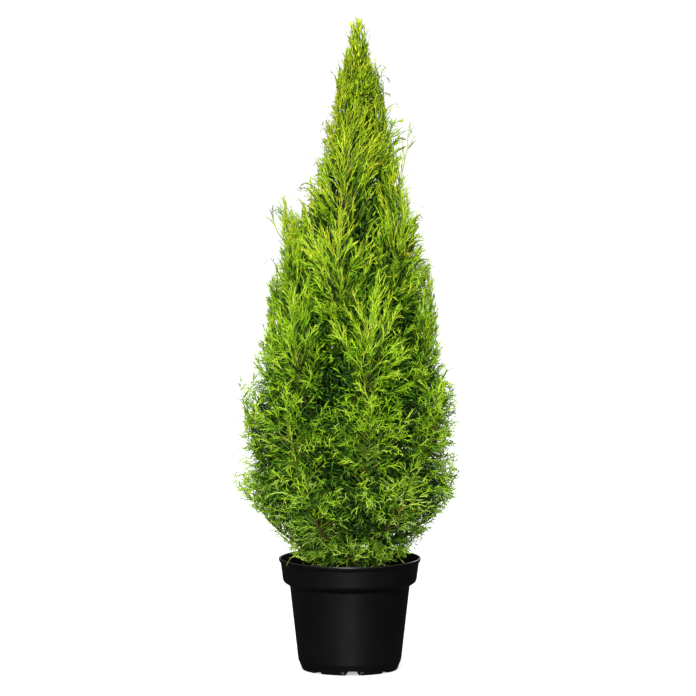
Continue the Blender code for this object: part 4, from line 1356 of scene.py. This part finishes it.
def dress_crown(masses, dice):
    spaces, axes, owners, bare = grow_crown(masses, dice)
    extras = mass_tones(masses)
    rise, middle, uneven = CORD_TONES
    spike_sets, counts = {}, [0, 0]

    def deal_out(lines, radii, tones, tints, make):
        levels = np.clip((tones * len(GREENS)).astype(int), 0, len(GREENS) - 1)
        for tint in range(len(TINTS)):
            for level in range(len(GREENS)):
                chosen = (levels == level) & (tints == tint)
                if chosen.any():
                    widths = radii[chosen] * dice.uniform(*WIDTH_SPREAD, chosen.sum())
                    spike_sets.setdefault((tint, level), []).append(make(lines[chosen], widths))

    hook_tones = np.repeat([HOOK_TONE, PLUME_TONE, RIM_FROND_TONE], [len(HOOKS), len(PLUME_HOOKS), 1])
    for (sprays, spray_owners), radius, own_tones in (
        (settled(side_sprays(axes, owners, bare, dice), SPRAY_POINTS, REACH, spaces, dice), SPRAY_RADIUS, None),
        (settled(tip_sprays(axes, owners, bare, dice), TIP_SPRAY_POINTS, TIP_REACH, spaces, dice),
         TIP_SPRAY_RADIUS, None),
        (hooks_on(masses, dice), HOOK_RADIUS, hook_tones),
    ):
        tones, tints = tones_of(sprays, spray_owners, extras, dice)
        if own_tones is not None:
            tones = own_tones
        radii = np.full(len(sprays), radius)
        taper = SPRAY_TAPER if own_tones is None else HOOK_TAPER
        deal_out(sprays, radii, tones, tints, lambda lines, widths: spike_arrays(lines, widths, taper, dice))
        cords, rows, shares, thickness = grow_cords(sprays, dice)
        cord_tones = tones[rows] + rise * (shares - middle) + dice.normal(0, uneven, len(cords))
        coarse, radii = thickness > 1.0, CORD_RADIUS * thickness
        for some, make in (
            (~coarse, lambda lines, widths: spike_arrays(lines, widths, CORD_TAPER, dice)),
            (coarse, lambda lines, widths: spindle_arrays(lines, widths, dice)),
        ):
            deal_out(cords[some], radii[some], cord_tones[some], tints[rows][some], make)
        counts[0] += len(sprays)
        counts[1] += len(cords)

    foliage_nodes = [f"foliage_{mass.name}" for mass in masses]
    total = 0
    for (tint, level), sets in sorted(spike_sets.items()):
        name, factors, blue = TINTS[tint]
        green = tuple(part * factor for part, factor in zip(GREENS[level], factors))
        green = (*green[:2], green[2] + blue * green[1] ** 2 / 200)
        material = foliage_material(f"{name}_{level + 1}", green)
        points, faces = join_spikes(sets)
        total += len(faces)
        pieces = -(-len(faces) // PIECE_LIMIT)
        for number, part in enumerate(np.array_split(faces, pieces)):
            used, local = np.unique(part, return_inverse=True)
            piece = f"sprays_{name}_{level + 1}_{number + 1}"
            add_mesh(piece, points[used], local.reshape(part.shape), material, foliage_nodes)

    stems = bare < STEM_BARE
    points, faces = join_spikes([
        spike_arrays(axes[stems][:, ::2], np.full(stems.sum(), STEM_RADIUS), 0.4, dice),
        spike_arrays(axes[~stems][:, ::4], np.full((~stems).sum(), TWIG_RADIUS), 0.6, dice),
    ])
    add_mesh("young_stems", points, faces, young_stem_material())
    print(f"crown: {len(axes)} twigs, {counts[0]} sprays, {counts[1]} cords, {total + len(faces)} triangles")


# ---------------------------------------------------------------- floor, light and camera


def make_stage():
    mesh = bpy.data.meshes.new("floor")
    mesh.from_pydata([(-60, -60, 0), (60, -60, 0), (60, 60, 0), (-60, 60, 0)], [], [(0, 1, 2, 3)])
    floor = bpy.data.objects.new("floor", mesh)
    bpy.context.scene.collection.objects.link(floor)
    nodes = Nodes("floor")
    mesh.materials.append(nodes.finish(
        Base_Color=(0.62, 0.62, 0.62, 1.0), Roughness=0.9, Specular_IOR_Level=0.0,
        Emission_Color=(1.0, 1.0, 1.0, 1.0), Emission_Strength=0.40,
    ))
    # The floor lights nothing, as on a dark table: the plant's underside stays in shade.
    floor.visible_diffuse = False
    floor.visible_glossy = False


def add_softbox(name, place, target, size, power):
    light = bpy.data.lights.new(name, "AREA")
    light.shape = "RECTANGLE"
    light.size, light.size_y = size
    light.energy = power
    lamp = bpy.data.objects.new(name, light)
    bpy.context.scene.collection.objects.link(lamp)
    lamp.location = place
    lamp.rotation_euler = (Vector(target) - Vector(place)).to_track_quat("-Z", "Y").to_euler()


def make_lights():
    """An overhead softbox of a sky, dim at the horizon, with soft lights in front and behind."""
    world = bpy.data.worlds.new("studio")
    bpy.context.scene.world = world
    world.use_nodes = True
    tree = world.node_tree
    sky = tree.nodes["Background"]
    place = tree.nodes.new("ShaderNodeTexCoord")
    split = tree.nodes.new("ShaderNodeSeparateXYZ")
    ramp = tree.nodes.new("ShaderNodeMapRange")
    ramp.inputs["From Min"].default_value, ramp.inputs["From Max"].default_value = 0.3, 1.0
    ramp.inputs["To Min"].default_value, ramp.inputs["To Max"].default_value = SKY
    tree.links.new(place.outputs["Generated"], split.inputs["Vector"])
    tree.links.new(split.outputs["Z"], ramp.inputs["Value"])
    tree.links.new(ramp.outputs["Result"], sky.inputs["Strength"])
    sky.inputs["Color"].default_value = (1.0, 1.0, 1.0, 1.0)
    add_softbox("key", (-0.7, -4.0, 1.9), (0.0, 0.0, 0.45), (1.8, 2.0), 236.0)
    add_softbox("low", (0.0, -3.0, 0.10), (0.0, 0.0, 0.10), (0.6, 0.9), 60.0)
    add_softbox("back", (1.2, 4.0, 2.6), (0.0, 0.0, 0.45), (1.8, 2.4), 100.0)


def make_camera():
    camera = bpy.data.cameras.new("camera")
    camera.lens = 312.4
    camera.sensor_width = 36.0
    camera.clip_start, camera.clip_end = 0.1, 200.0
    holder = bpy.data.objects.new("camera", camera)
    bpy.context.scene.collection.objects.link(holder)
    holder.location = (-0.0024, -8.0, 1.27)
    holder.rotation_euler = (math.radians(90 - 5.985), 0.0, 0.0)
    bpy.context.scene.camera = holder


def main():
    dice = np.random.default_rng(SEED)
    masses = plan_masses()
    make_pot()
    make_soil(dice)
    make_limbs(masses, dice, bark_material())
    dress_crown(masses, dice)
    make_stage()
    make_lights()
    make_camera()
    bpy.context.scene.view_settings.view_transform = "Standard"


main()
